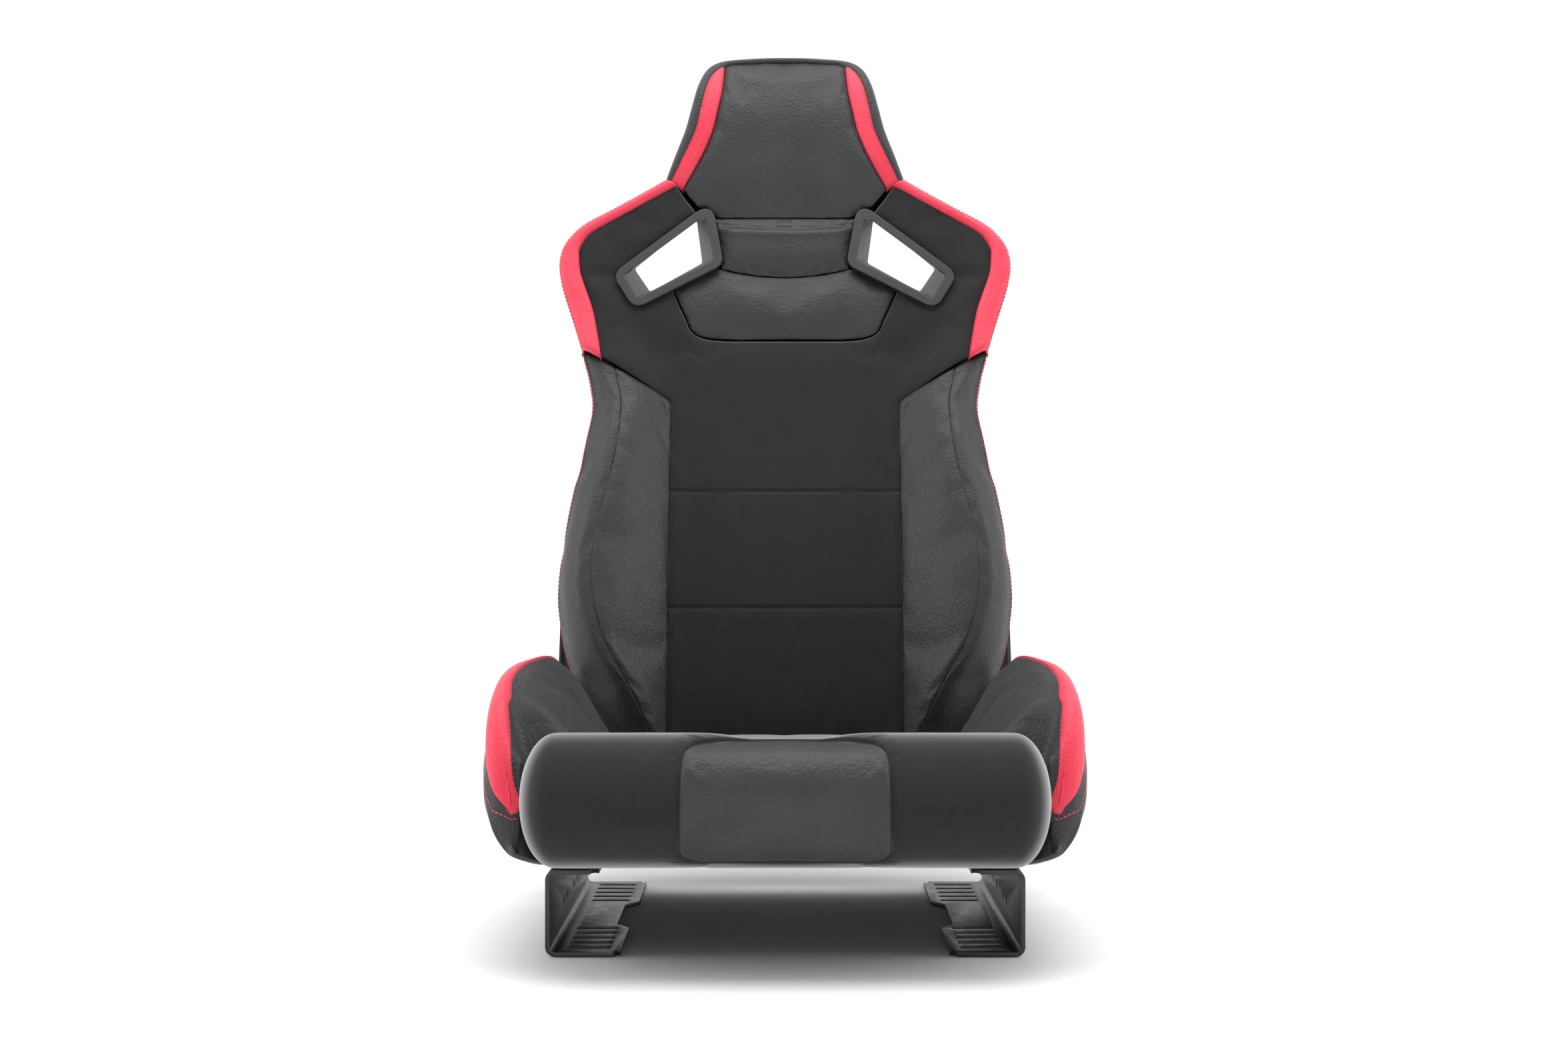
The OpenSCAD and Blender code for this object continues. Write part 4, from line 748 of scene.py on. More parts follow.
panels = {"dip": 3.6, "dipWidth": 9, "wall": 12}
headTopKey = [(0, 775), (31, 774), (60, 769.5), (70, 764)]


def badgePlace(x, v, distance):
    crown = 3.5 * ease(distance / 30)
    pucker = 0.35 * math.sin(v * 0.9) * math.sin(x * 0.37) * (1 - ease(distance / 16))
    return onBack(x, surf(x, v) + 0.5 + crown + pucker - dip(distance, panels["dip"], panels["dipWidth"]), v)


def badgeSpot(s, bottom):
    x = bottom / badgeCorner * (badgeCorner + 20.6)
    high = np.array((x, neckBottom(x) if abs(x) < 74 else underCollar(abs(x)) - 0.5))
    return mix(np.array((bottom, topLine(bottom))), high, s)


def neckPlace(x, v, distance):
    # a fold hangs like a smile under the upper seam
    fold = neckTop - 7 - 7 * (1 - (x / 84) ** 2)
    w = surf(x, v) + 0.5 + 3.5 * ease(distance / 24) - dip(distance, 3.4, 7)
    w -= 2.2 * math.exp(-((v - fold) / 2.6) ** 2) * ease((86 - abs(x)) / 20)
    w += 1.4 * math.exp(-((v - fold + 7) / 4.5) ** 2)
    return onBack(x, w, v)


def neckSpot(s, c):
    v = mix(neckBottom(c * 72), neckTop, s)
    return c * (besideCollar(v) - 0.5), v


def headBottom(x):
    a = abs(x)
    if a < 78:
        return neckTop
    if a < 86:
        return mix(neckTop, neckTop + 12.5, (a - 78) / 8)
    return neckTop + 12.5 if a < 98 else mix(neckTop + 12.5, joinV - 3.5, clamp((a - 98) / 18))


def headPlace(x, v, distance):
    crown = 3 * ease(distance / 40)
    return onBack(x, surf(x, v) + 1 + crown - dip(distance, 4, 9), v)


def headSpot(s, c):
    v = mix(headBottom(c * 115.5), curve(abs(c) * 70, headTopKey), s)
    return c * headIn(mix(joinV - 3.5, headTopKey[-1][1], s)), v


badgeRows = rowsOf(spread(0, 1, 26), spread(-badgeCorner, badgeCorner, 36), badgeSpot)
neckRows = rowsOf(spread(0, 1, 38, 0.5), spread(-1, 1, 46), neckSpot)
headRows = rowsOf(spread(0, 1, 46), spread(-1, 1, 56), headSpot)
badge = paddedSheet("leather_badge_panel", [badgeRows], badgePlace)
neck = paddedSheet("leather_neck_panel", [neckRows], neckPlace)
head = paddedSheet("leather_head_panel", [headRows], headPlace)
print("leather panels shaped")


# Side bolsters of the backrest

bolster = {"crestKey": [(footV, 0.2), (32, 0.42), (91, 0.61), (176, 0.68), (301, 0.6), (420, 0.68)],
           "riseKey": [(footV, 14), (32, 42), (100, 58), (200, 56), (300, 42), (385, 20), (420, 14)],
           "edgeKey": [(footV, 20), (34, 42), (134, 60), (300, 58), (385, 46), (420, 42)],
           "crest": 5, "rows": 64, "stitched": (-22, 425), "wall": 6}


def bolsterAcross(v, k):
    inner, outer = seat["centre"], edge(v)
    top = mix(inner, outer, curve(v, bolster["crestKey"]))
    base, high, side = surf(inner, v), spine(v) + curve(v, bolster["riseKey"]), curve(v, bolster["edgeKey"])
    keys = [(inner, base - 3), (inner + 3, base + 1), (mix(inner, top, 0.25), mix(base, high, 0.24)),
            (mix(inner, top, 0.55), mix(base, high, 0.62)), (mix(inner, top, 0.85), mix(base, high, 0.96)),
            (top, high), (mix(top, outer, 0.3), high + 0.5), (mix(top, outer, 0.7), mix(high, side, 0.4)),
            (outer - 3, mix(high, side, 0.82)), (outer, side), (outer - 1, side * 0.6),
            (outer - 4, seat["padBack"] + 3)]
    return along(keys, k)


def seamLine(x):
    return seat["seamHeight"] + (x - seat["centre"]) * seat["seamRise"]


def makeBolster():
    columns = sorted(spread(0, 5, 20, 0.7) + [4.86, 4.94, 5.06, 5.14] + spread(5, 11, 24, 0.3)[1:])
    tops = []
    for k in columns:
        v = seat["seamHeight"]
        for _ in range(5):
            v = seamLine(bolsterAcross(v, k)[0])
        tops.append(v)
    rows = []
    for s in spread(0, 1, bolster["rows"], 0.5):
        row = []
        for k, top in zip(columns, tops):
            v = mix(footV, top, s)
            x, w = bolsterAcross(v, k)
            w -= dip((1 - s) * (top - footV), 3.5, 8) if k < 9.5 else 0
            w -= 1.5 * max(0.0, 1 - abs(k - bolster["crest"]) / 0.14)
            row.append(onBack(x, max(w, seat["padBack"] + 2), v))
        rows.append(row)
    rows, columns = tucked(rows, ("last", "left")), [-1] + columns
    piece = sheetOf("leather_bolster_right", rows)
    last = len(rows) - 1
    pin(piece, [i * len(columns) + j for i in range(last + 1) for j, k in enumerate(columns)
                if i in (0, last - 1, last) or j < 2 or k > 9.3 or abs(k - bolster["crest"]) < 0.1])
    return piece


bolsterRight = makeBolster()
print("bolster shaped")


# Coral trims round the shoulders, and the strips and gusset of the head

trim = {"radius": 9, "side": 12, "welt": 1.6, "weltAt": 21, "weltWidth": 2.4, "wall": 3, "stripWall": 4,
        "stripLength": 155, "gussetWall": 2.5, "gussetRound": 9}


def weltAt(w):
    return trim["welt"] * math.exp(-((w - trim["weltAt"]) / trim["weltWidth"]) ** 2)


def sideSection(length, high, radius, inner=2.0):
    # from a seam over a rounded corner and back down the side: (offset, height, turn of the corner)
    section = [(offset, high - dip(offset, inner, 5), 0) for offset in spread(0, length - radius, 9, 0.6)]
    section += [(length - radius + radius * math.sin(turn), high - radius * (1 - math.cos(turn)), turn)
                for turn in evenly(0, math.pi / 2, 8)[1:]]
    low = high - radius
    for w in evenly(low, trim["side"], 12)[1:]:
        section.append((length - 1.2 * ((low - w) / (low - trim["side"])) ** 2 + weltAt(w), w, math.pi / 2))
    return section + [(length - 5, trim["side"] - 3, math.pi / 2)]


def shoulderTrimRows():
    rows = []
    for t in spread(0, 9, 84, 0.3):
        inner, outer = trimIn(t), trimOut(t)
        length = np.linalg.norm(outer - inner)
        out = (outer - inner) / length
        ends = dip(min(t * 28, (9 - t) * 26), 2.6, 5)
        high = surf(*mix(inner, outer, 0.5)) + 2.2
        row = []
        for offset, w, turn in sideSection(length, high, min(trim["radius"], length * 0.6)):
            p = inner + out * offset
            row.append(onBack(p[0], w - ends * math.cos(turn), p[1]))
        rows.append(row)
    return rows


shoulderRows = shoulderTrimRows()
shoulderTrim = sheetOf("coral_shoulder_trim_right", tucked(shoulderRows, ("first", "last", "left")))

# head, right half: where the strip ends and the gusset begins, and the outline of the head
gussetInner = [(131, 617), (116.4, 647), (103, 677.7), (97, 705.7), (90.8, 733.7), (83.4, 752), (71.5, 764),
               (60, 769.5), (31, 774), (0, 775)]
gussetOuter = [(133, 621), (122.5, 650), (111.5, 680), (104.8, 707), (97.8, 736), (90, 755.5), (79, 767.5),
               (62, 773.5), (31.5, 778), (0, 779)]


def stripSpot(s, c):
    v = mix(joinV - 3.5, headTopKey[-1][1], s)
    inner, outer = np.array((headIn(v), v)), along(gussetInner[:7], 6 * s)
    width = np.linalg.norm(outer - inner)
    p = mix(inner, outer, c)
    seams = dip(c * width, 3, 5) + dip((1 - c) * width, 2.2, 4) + dip(s * trim["stripLength"], 2.6, 5)
    return onBack(p[0], surf(*p) + 1.6 - seams, p[1])


def gussetRows():
    ways = evenly(0, 9, 72)
    rows = []
    for t in ways + [18 - t for t in reversed(ways[:-1])]:
        side = 1 if t <= 9 else -1
        k = t if t <= 9 else 18 - t
        inner, outer = along(gussetInner + [(-31, 774)], k), along(gussetOuter + [(-31.5, 778)], k)
        length = max(1.0, np.linalg.norm(outer - inner))
        out = (outer - inner) / length
        high = surf(*inner) - 0.6
        row = []
        for turn in evenly(0, math.pi / 2, 9):
            p = inner + out * length * math.sin(turn)
            row.append(onBack(side * p[0], high - trim["gussetRound"] * (1 - math.cos(turn)), p[1]))
        low = high - trim["gussetRound"]
        for w in evenly(low, trim["side"], 10)[1:]:
            p = outer + out * (weltAt(w) - 1.2 * ((low - w) / (low - trim["side"])) ** 2)
            row.append(onBack(side * p[0], w, p[1]))
        p = outer - out * 5
        row.append(onBack(side * p[0], trim["side"] - 3, p[1]))
        rows.append(row)
    return rows


headStripGrid, gussetGrid = rowsOf(spread(0, 1, 44, 0.4), spread(0, 1, 14, 0.7), stripSpot), gussetRows()
headStrip = sheetOf("coral_head_strip_right", tucked(headStripGrid, ("first", "last", "left", "right")))
gusset = sheetOf("leather_head_gusset", tucked(gussetGrid, ("left",)))
print("trims shaped")


# Wings beside the cushion

wing = {"trimWidth": 30, "lift": 0.7, "crown": 1.7, "nose": 7, "roll": 228.5, "cushion": 178,
        "keel": 207, "socket": 128, "socketMiddle": 108, "turnWidth": 40, "turnHeight": 58,
        "softFrom": -248, "softness": 10, "trimWall": 2.2}
wingLow, wingHigh = (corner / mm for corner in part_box("wing_right"))
wingFront, wingRear, wingTop, wingHalf, wingUnder = wingLow.y, wingHigh.y, wingHigh.z, wingHigh.x, wingLow.z
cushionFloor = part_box("seat_cushion")[0].z / mm
rollLow, rollHigh = (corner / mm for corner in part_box("thigh_roll"))
rollRadius = (rollHigh.z - rollLow.z) / 2
rollAxis = (rollLow.y + rollRadius, rollLow.z + rollRadius)


def crestHeight(y):
    return wingTop - curve(y, [(wingFront, 142), (-262, 108), (-254, 80), (-243, 56), (-225, 33), (-205, 20),
                               (-165, 8), (-110, 2), (-40, 0), (30, 0.5), (66, 10), (wingRear, 34)])


def crestAcross(y):
    return wingHalf - curve(y, [(wingFront, 32), (-255, 22), (-235, 15), (-140, 13), (-60, 17), (0, 25),
                                (50, 32), (wingRear, 42)])


def outerAcross(y):
    return wingHalf - curve(y, [(wingFront, 26), (-262, 14), (-245, 5.5), (-215, 1.5), (-140, 0), (-60, 1),
                                (0, 4), (50, 10), (wingRear, 24)])


def wingKeys(y):
    # closed outline of the wing across the seat, from under its inner edge round its outer side
    shrink = 3 * (1 - clamp(min((wingRear - y) / 8, (y - wingFront) / 10))) ** 2
    ahead = ease((-205 - y) / 8)
    floorZ = wingUnder + shrink
    inside = mix(wing["cushion"] + 0.6, wing["roll"] + 1.2, ease((rollAxis[0] + rollRadius + 30 - y) / 28))
    xi = inside + 0.4 * shrink
    xo = outerAcross(y) - shrink
    xc = max(crestAcross(y), xi + 4)
    zc = crestHeight(y) - shrink
    rise = curve(y, [(wingFront, 4), (-240, 30), (-200, 58), (-100, 66), (0, 58), (wingRear, 52)])
    zi = mix(min(cushionFloor + rise, zc - 6), zc - 6, ease((-222 - y) / 32))
    keel = wing["keel"] + shrink * ahead
    over = mix(113, floorZ + 1.5, ahead)
    top = min(mix(over, wing["socket"], ahead), zi - 4) + 1
    middle = min(mix(over + 0.6, wing["socketMiddle"], ahead), top - 0.6)
    lowX = max(keel + 1.5, xo - wing["turnWidth"])
    lowHigh = min(wing["turnHeight"], 0.48 * (zc - floorZ))
    across = min(wing["trimWidth"], 0.4 * (zc - floorZ))
    return [(mix(keel, xi + 1, 0.58), middle), (keel, over),
            (keel + 0.5, floorZ + 0.7), (lowX, floorZ), (mix(xo, lowX, 0.6), floorZ + 0.16 * lowHigh),
            (mix(xo, lowX, 0.29), floorZ + 0.47 * lowHigh), (xo, floorZ + lowHigh),
            (mix(xo, xc, 0.15), zc - across * 0.9), (mix(xo, xc, 0.5), zc - across * 0.28), (xc, zc),
            (xc - min(across * 0.3, 0.25 * (xc - xi)), zc - across * 0.08),
            (mix(xc, xi, 0.42), mix(zc, zi, 0.24)), (mix(xc, xi, 0.72), mix(zc, zi, 0.62)), (xi + 0.5, zi),
            (xi, mix(top, zi, 0.6)), (xi + 1, top)]


# the coral trim between its outer and inner seam, as (y, place on the outline), from the rear round the nose
trimOuter = [(84, 7), (0, 7), (-120, 7), (-185, 6.95), (-215, 6.92), (-235, 6.9), (-247, 7.05), (-255, 7.45),
             (-260, 8), (-263, 8.8), (-264, 9.6), (-264, 11), (-263.2, 12.2), (-262, 13.4)]
trimInner = [(84, 9.75), (0, 9.7), (-110, 9.95), (-172, 10.05), (-208, 10.4), (-222, 11.1), (-236, 11.45),
             (-246, 11.5), (-251, 11.5), (-254.5, 11.55), (-256.5, 11.7), (-258, 12), (-259.2, 12.45),
             (-260, 13)]
trimTurns = [0.0]
for k, steps in enumerate((14, 20, 12, 8, 6, 5, 5, 5, 5, 5, 5, 5, 5)):
    trimTurns += evenly(k, k + 1, steps)[1:]


def trimSpot(t, c, lift=0.0):
    # c runs from the outer seam, 0, to the inner one, 1
    y, p = mix(along(trimOuter, t), along(trimInner, t), c)
    return onWing(y, p, lift)


def onWing(y, p, lift=0.0):
    keys = wingKeys(y)
    here, ahead = along(keys, p, True), along(keys, p + 0.02, True)
    way = (ahead - here) / max(np.linalg.norm(ahead - here), 1e-9)
    return Vector(((here[0] + way[1] * lift) * mm, y * mm, (here[1] - way[0] * lift) * mm))


def makeWing():
    # places on the outline lie closest from the outer side over the crest
    places = evenly(0, 6.4, 24) + evenly(6.4, 13, 72)[1:] + evenly(13, 16, 12)[1:-1]
    heights = [mix(wingFront, wingRear, t ** 1.35) for t in evenly(0, 1, 74)]
    heights = sorted(heights + [wingRear - 1, wingRear - 4])
    rows = [[onWing(y, p) for p in places] for y in heights]

    def dome(row, way):
        middle = sum(row, Vector()) / len(row)
        made = []
        for turn in evenly(0, 80, 6)[1:]:
            share = math.cos(math.radians(turn))
            shift = Vector((0, way * wing["nose"] * mm * math.sin(math.radians(turn)), 0))
            made.append([middle + (p - middle) * share + shift for p in row])
        return made, middle + Vector((0, way * wing["nose"] * mm, 0))

    noseRows, nosePole = dome(rows[0], -1)
    rearRows, rearPole = dome(rows[-1], 1)
    rows = list(reversed(noseRows)) + rows + rearRows
    # the leather rounds off the nose's corners
    soft = [k for k in range(1, len(rows) - 1) if rows[k][0].y < wing["softFrom"] * mm]
    for _ in range(wing["softness"]):
        rows = [[(row[j] + (row[j - 1] + row[(j + 1) % len(row)] + rows[k - 1][j] + rows[k + 1][j]) / 4) / 2
                 for j in range(len(row))] if k in soft else row for k, row in enumerate(rows)]
    points = [p for row in rows for p in row] + [nosePole, rearPole]
    count = len(places)
    faces = gridFaces(len(rows), count, 0, True)
    last = (len(rows) - 1) * count
    faces += [(k, (k + 1) % count, len(points) - 2) for k in range(count)]
    faces += [(last + (k + 1) % count, last + k, len(points) - 1) for k in range(count)]
    piece = newPiece("leather_wing_right", points, faces)
    turnOutwards(piece)
    # held: the underside, the hidden inside, the strip under the trim, the nose and the rear end
    held = [i * count + j for i in range(len(rows)) for j, p in enumerate(places)
            if p < 5.2 or p > 12.6 or (6.8 < p < 10.4) or rows[i][0].y < -0.2 or i > len(rows) - 9]
    pin(piece, held)
    return piece


def trimWidthAt(t):
    return sum((trimSpot(t, (n + 1) / 8) - trimSpot(t, n / 8)).length for n in range(8)) / mm


def makeWingTrim():
    rows, shares = [], spread(0, 1, 18, 0.6)
    ends = [sum((trimSpot(t, c) - trimSpot(end, c)).length for c in (0, 0.5, 1)) / 3 / mm
            for t in trimTurns for end in (trimTurns[0], trimTurns[-1])]
    for k, t in enumerate(trimTurns):
        width = trimWidthAt(t)
        row = []
        for c in shares:
            lift = wing["lift"] + wing["crown"] * (1 - (2 * c - 1) ** 2)
            lift -= dip(min(c, 1 - c) * width, 2.6, 4.5) + dip(min(ends[2 * k:2 * k + 2]), 2.2, 5)
            row.append(trimSpot(t, c, lift))
        rows.append(row)
    return facing(sheetOf("coral_wing_trim_right", rows), (0.5, 0, 1))


wingRight, wingTrim = makeWing(), makeWingTrim()
print("wings shaped")


# Thigh roll and its panel

roll = {"half": wing["roll"], "end": 31, "lip": 3.0, "lipTop": 1.5, "lipWidth": 12, "bed": 8, "panel": 57.6,
        "panelDrop": 8, "panelDip": 4.2, "panelDipWidth": 7, "panelWall": 3,
        "bends": [93, 97, 101, 105, 238, 241]}
# half the width of the panel at each turn round the roll
panelKey = [(72, 30), (80, 44), (90, 58), (97, 68), (103, 76), (111, 81), (119, 85), (128, 87.5), (137, 89),
            (180, 90.5), (225, 90.5), (233, 88), (238, 83), (241.5, 76), (243, 68)]
panelTop, panelEnd = panelKey[0][0], panelKey[-1][0]
arc = rollRadius * math.pi / 180
panelOutline = [(curve(a, panelKey), a * arc) for a in evenly(panelTop, panelEnd, 90)]
panelOutline += [(-x, a) for x, a in reversed(panelOutline)]
panelOutline = np.array(panelOutline + panelOutline[:1])
panelSides = list(zip(panelOutline[:-1], panelOutline[1:]))


def onRoll(x, r, a):
    turn = math.radians(a)
    return Vector((x * mm, (rollAxis[0] + r * math.cos(turn)) * mm, (rollAxis[1] + r * math.sin(turn)) * mm))


def makeRoll():
    turns = evenly(0, 356, 89) + [panelTop + k for k in (-1.2, 0, 1.2)] + roll["bends"]
    turns = sorted(set(turns + [panelEnd + k for k in (-1.2, 0, 1.2, 2.4)]))
    flat, ends = [], evenly(0, 90, 10)[1:]
    for a in turns:
        half = curve(a, panelKey)
        side = [half + (roll["half"] - roll["end"] - half) * s ** 1.5 for s in evenly(0, 1, 15)]
        side += [roll["half"] - roll["end"] * (1 - math.sin(math.radians(t))) for t in ends[:-1]]
        middle = [half - 0.9, half * 0.9, half * 0.45]
        flat.append([-x for x in reversed(side)] + [-x for x in middle] + [0] + list(reversed(middle)) + side)
    columns = len(flat[0])
    spots = np.array([(x, a * arc) for a, row in zip(turns, flat) for x in row])
    distance = distanceTo(spots, panelSides)
    points = []
    for (x, run), d in zip(spots, distance):
        a = run / arc
        over = (abs(x) - roll["half"] + roll["end"]) / roll["end"]
        r = rollRadius if over <= 0 else rollRadius * math.sqrt(max(0, 1 - over * over))
        covered = panelTop < a < panelEnd and abs(x) < curve(a, panelKey) - 0.5
        lip = roll["lip"] + roll["lipTop"] * ease((130 - a) / 35)
        points.append(onRoll(x, r - (roll["bed"] if covered else dip(d, lip, roll["lipWidth"])), a))
    points += [onRoll(-roll["half"], 0, 0), onRoll(roll["half"], 0, 0)]
    count = len(turns)
    around = count * columns
    faces = [tuple(k % around for k in face) for face in gridFaces(count + 1, columns)]
    starts = range(0, around, columns)
    faces += [((a + columns) % around, a, around) for a in starts]
    faces += [(a + columns - 1, (a + 2 * columns - 1) % around, around + 1) for a in starts]
    piece = newPiece("suede_thigh_roll", points, faces)
    turnOutwards(piece)
    near = [k for k, d in enumerate(distance) if d < 3]
    covered = [i * columns + j for i, a in enumerate(turns) for j, x in enumerate(flat[i])
               if panelTop < a < panelEnd and abs(x) < curve(a, panelKey)]
    pin(piece, sorted(set(near + covered)))
    return piece


def makeRollPanel():
    turns, shares = spread(panelEnd, panelTop, 72, 0.5), spread(-1, 1, 52, 0.6)
    flat = [[(c * curve(a, panelKey), a * arc) for c in shares] for a in turns]
    spots = np.array([p for row in flat for p in row])
    distance = distanceTo(spots, panelSides)
    points = []
    for (x, run), d in zip(spots, distance):
        a = run / arc
        r = roll["panel"] - roll["panelDrop"] * ease((130 - a) / 35)
        points.append(onRoll(x, r - dip(d, roll["panelDip"], roll["panelDipWidth"]), a))
    piece = newPiece("leather_roll_panel", points, gridFaces(len(turns), len(shares)))
    width = len(shares)
    pin(piece, [k for k in range(len(points)) if distance[k] < 1.5 or k % width in (0, width - 1)])
    return facing(piece, (0, -1, 0))


thighRoll, rollPanel = makeRoll(), makeRollPanel()
print("thigh roll shaped")


# Seat cushion

cushion = {"half": 177.4, "front": -213, "rear": 150, "rearBow": 22, "sides": 8, "channels": (0.35, 0.66),
           "channelDepth": 4, "wall": 10}


def cushionTop(c, s):
    rise = curve(s, [(0, 62), (0.12, 66), (0.4, 57), (0.7, 49), (1, 46)])
    y = mix(cushion["front"], cushion["rear"] - cushion["rearBow"] * c ** 4, s)
    length = cushion["rear"] - cushion["front"]
    border = min((1 - abs(c)) * cushion["half"], s * length, (1 - s) * length)
    z = cushionFloor + rise + cushion["sides"] * abs(c) ** 3 - dip(border, 15, 24)
    for at in cushion["channels"]:
        z -= groove(s, at, cushion["channelDepth"], 0.018)
    return Vector((c * cushion["half"] * mm, y * mm, z * mm))


def makeCushion():
    across = spread(-1, 1, 46)
    shares = set(spread(0, 1, 44))
    for at in cushion["channels"]:
        shares.update(at + k for k in (-0.02, -0.012, -0.005, 0, 0.005, 0.012, 0.02))
    shares = sorted(shares)
    points = [cushionTop(c, s) for s in shares for c in across]
    width, count = len(across), len(shares)
    faces = gridFaces(count, width)
    last = (count - 1) * width
    rim = [*range(width), *range(2 * width - 1, last + width, width), *range(last + width - 2, last - 1, -1),
           *range(last - width, 0, -width)]
    ring, middle = rim, Vector((0, -0.03, 0))
    # three rings go down from the rim, each drawn in a little
    for k in (1, 2, 3):
        start = len(points)
        for n in rim:
            p = points[n]
            side = 1 - 0.006 * k
            points.append(Vector((p.x * side, middle.y + (p.y - middle.y) * side,
                                  mix(p.z, (cushionFloor + 1) * mm, k / 3))))
        made = list(range(start, start + len(rim)))
        faces += zip(ring, ring[1:] + ring[:1], made[1:] + made[:1], made)
        ring = made
    piece = newPiece("suede_seat_cushion", points, faces)
    pin(piece, list(range(count * width, len(points))) + rim
        + [i * width + j for i, s in enumerate(shares) for j in range(width)
           if min(abs(s - at) for at in cushion["channels"]) < 0.006])
    return facing(piece, (0, 0, 1))


seatCushion = makeCushion()
print("seat cushion shaped")


# Harness bezels: a flange in front, walls that run back, and a second bezel from behind

bezel = {"face": 46, "round": 13.5, "straight": 31, "meet": -22, "rim": 6, "rearFace": 51, "rearRim": -4,
         "wall": 3, "edge": 1.8, "clearance": 3.8}
backMatrix = Matrix.Translation(recline) @ Matrix.Rotation(-math.radians(seat["lean"]), 4, "X")


def edit(piece):
    bpy.ops.object.select_all(action="DESELECT")
    piece.select_set(True)
    bpy.context.view_layer.objects.active = piece
    bpy.ops.object.mode_set(mode="EDIT")


def doneEditing():
    bpy.ops.object.mode_set(mode="OBJECT")
    bpy.ops.object.select_all(action="DESELECT")


def pick(piece, kind, test):
    # selects, in edit mode, the corners, edges or faces that pass a test
    bpy.ops.mesh.select_mode(type={"verts": "VERT", "edges": "EDGE", "faces": "FACE"}[kind])
    bpy.ops.mesh.select_all(action="DESELECT")
    shape = bmesh.from_edit_mesh(piece.data)
    getattr(shape, kind).index_update()
    for part in getattr(shape, kind):
        if test(part):
            part.select_set(True)
    bmesh.update_edit_mesh(piece.data)


def fourSided(name, corners, w):
    # a flat four-sided outline with rounded corners, facing the front of the backrest's own upright frame
    bpy.ops.mesh.primitive_circle_add(vertices=4, radius=0.05, fill_type="NGON",
                                      rotation=(math.radians(90), 0, 0))
    piece = bpy.context.active_object
    piece.name = name
    bpy.ops.object.transform_apply(location=True, rotation=True, scale=True)
    edit(piece)
    for n, corner in enumerate(corners):
        pick(piece, "verts", lambda part: part.index == n)
        goal = Vector((corner[0] * mm, -w * mm, corner[1] * mm))
        here = bmesh.from_edit_mesh(piece.data).verts[:][n].co
        bpy.ops.transform.translate(value=goal - here)
    for n, corner in enumerate(corners):
        spot = Vector((corner[0] * mm, -w * mm, corner[1] * mm))
        before, after = (Vector(np.array(corners[(n + k) % 4]) - corner) for k in (-1, 1))
        pick(piece, "verts", lambda part: (part.co - spot).length < 1e-5)
        bpy.ops.mesh.bevel(offset=bezel["round"] * mm / math.tan(before.angle(after) / 2), segments=6,
                           affect="VERTICES")
    pick(piece, "faces", lambda part: True)
    return piece


def openingAt(share):
    # corners of the opening between the mouth, 0, and the place where the two bezels meet, 1
    return [mix(np.array(a), np.array(b), share) for a, b in zip(mouth["corners"], mouth["exit"])]


def pushFace(piece, back, here, there):
    # carries the selected opening back along its tunnel, each rounded corner on its own way
    bpy.ops.mesh.extrude_region_move(TRANSFORM_OT_translate={"value": (0, back * mm, 0)})
    shape = bmesh.from_edit_mesh(piece.data)
    shape.verts.index_update()
    ring = {part.index: (part.co.x / mm - mouth["middle"][0], part.co.z / mm - mouth["middle"][1])
            for part in shape.verts if part.select}
    nearest = {k: min(range(4), key=lambda n: math.dist(p, here[n])) for k, p in ring.items()}
    for n in range(4):
        pick(piece, "verts", lambda part: nearest.get(part.index) == n)
        way = (there[n] - here[n]) * mm
        bpy.ops.transform.translate(value=(way[0], 0, way[1]))
    pick(piece, "faces", lambda part: all(corner.index in nearest for corner in part.verts))


def makeBezel(name, front):
    meet = openingAt(1)
    start = openingAt(0) if front else [np.array(p) for p in mouth["rear"]]
    level = bezel["face"] if front else -bezel["rearFace"]
    piece = fourSided(name, [mouth["middle"] + p for p in grown(start, mouth["flange"])], level)
    bpy.ops.mesh.inset(thickness=mouth["flange"] * mm, depth=0)
    if front:
        deep = level - bezel["meet"]
        waist = openingAt(bezel["straight"] / deep)
        pushFace(piece, bezel["straight"], start, waist)
        pushFace(piece, deep - bezel["straight"], waist, meet)
    else:
        pushFace(piece, level - bezel["meet"] + 0.5, start, meet)
    bpy.ops.mesh.delete(type="ONLY_FACE")
    pick(piece, "edges", lambda part: part.is_boundary and abs(part.verts[0].co.y + level * mm) < 1e-5)
    rim = bezel["rim"] if front else bezel["rearRim"]
    bpy.ops.mesh.extrude_region_move(TRANSFORM_OT_translate={"value": (0, rim * mm, 0)})
    bpy.ops.mesh.select_all(action="SELECT")
    bpy.ops.mesh.normals_make_consistent(inside=False)
    doneEditing()
    facing(piece, (0, -1, 0) if front else (0, 1, 0))
    thicken(piece, bezel["wall"])
    roundEdges(piece, bezel["edge"], 3)
    applyAll(piece)
    piece.data.transform(backMatrix)
    return piece


frontBezel, rearBezel = makeBezel("moulded_bezel_right", True), makeBezel("moulded_rear_bezel_right", False)
print("bezels modelled")


# Shells behind the padding

shell = {"split": 70, "depth": 46, "wall": 3, "rim": 7, "gap": 0.6, "shaftHole": 9}
shellOutline = [(v, edge(v) - 3) for v in (460, 490, 518)] + [(p[1], p[0] - 3) for p in trimOutPoints[4:]]
shellOutline += [(p[1], p[0] - 3) for p in gussetOuter[1:7]] + [(topV - 5, seat["head"] - 12)]
shellSection = [(-1, 0), (-1, 0.4), (-0.975, 0.74), (-0.9, 0.94), (-0.76, 1), (-0.4, 1)]
shellSection += [(0, 1)] + [(-c, d) for c, d in reversed(shellSection)]


def shellHalf(v):
    if v < shell["split"]:
        return curve(v, [(footV, 166.5), (0, 190.5), (40, 200.5), (70, 204.5)])
    return edge(v) - 3 if v < 470 else curve(v, shellOutline)


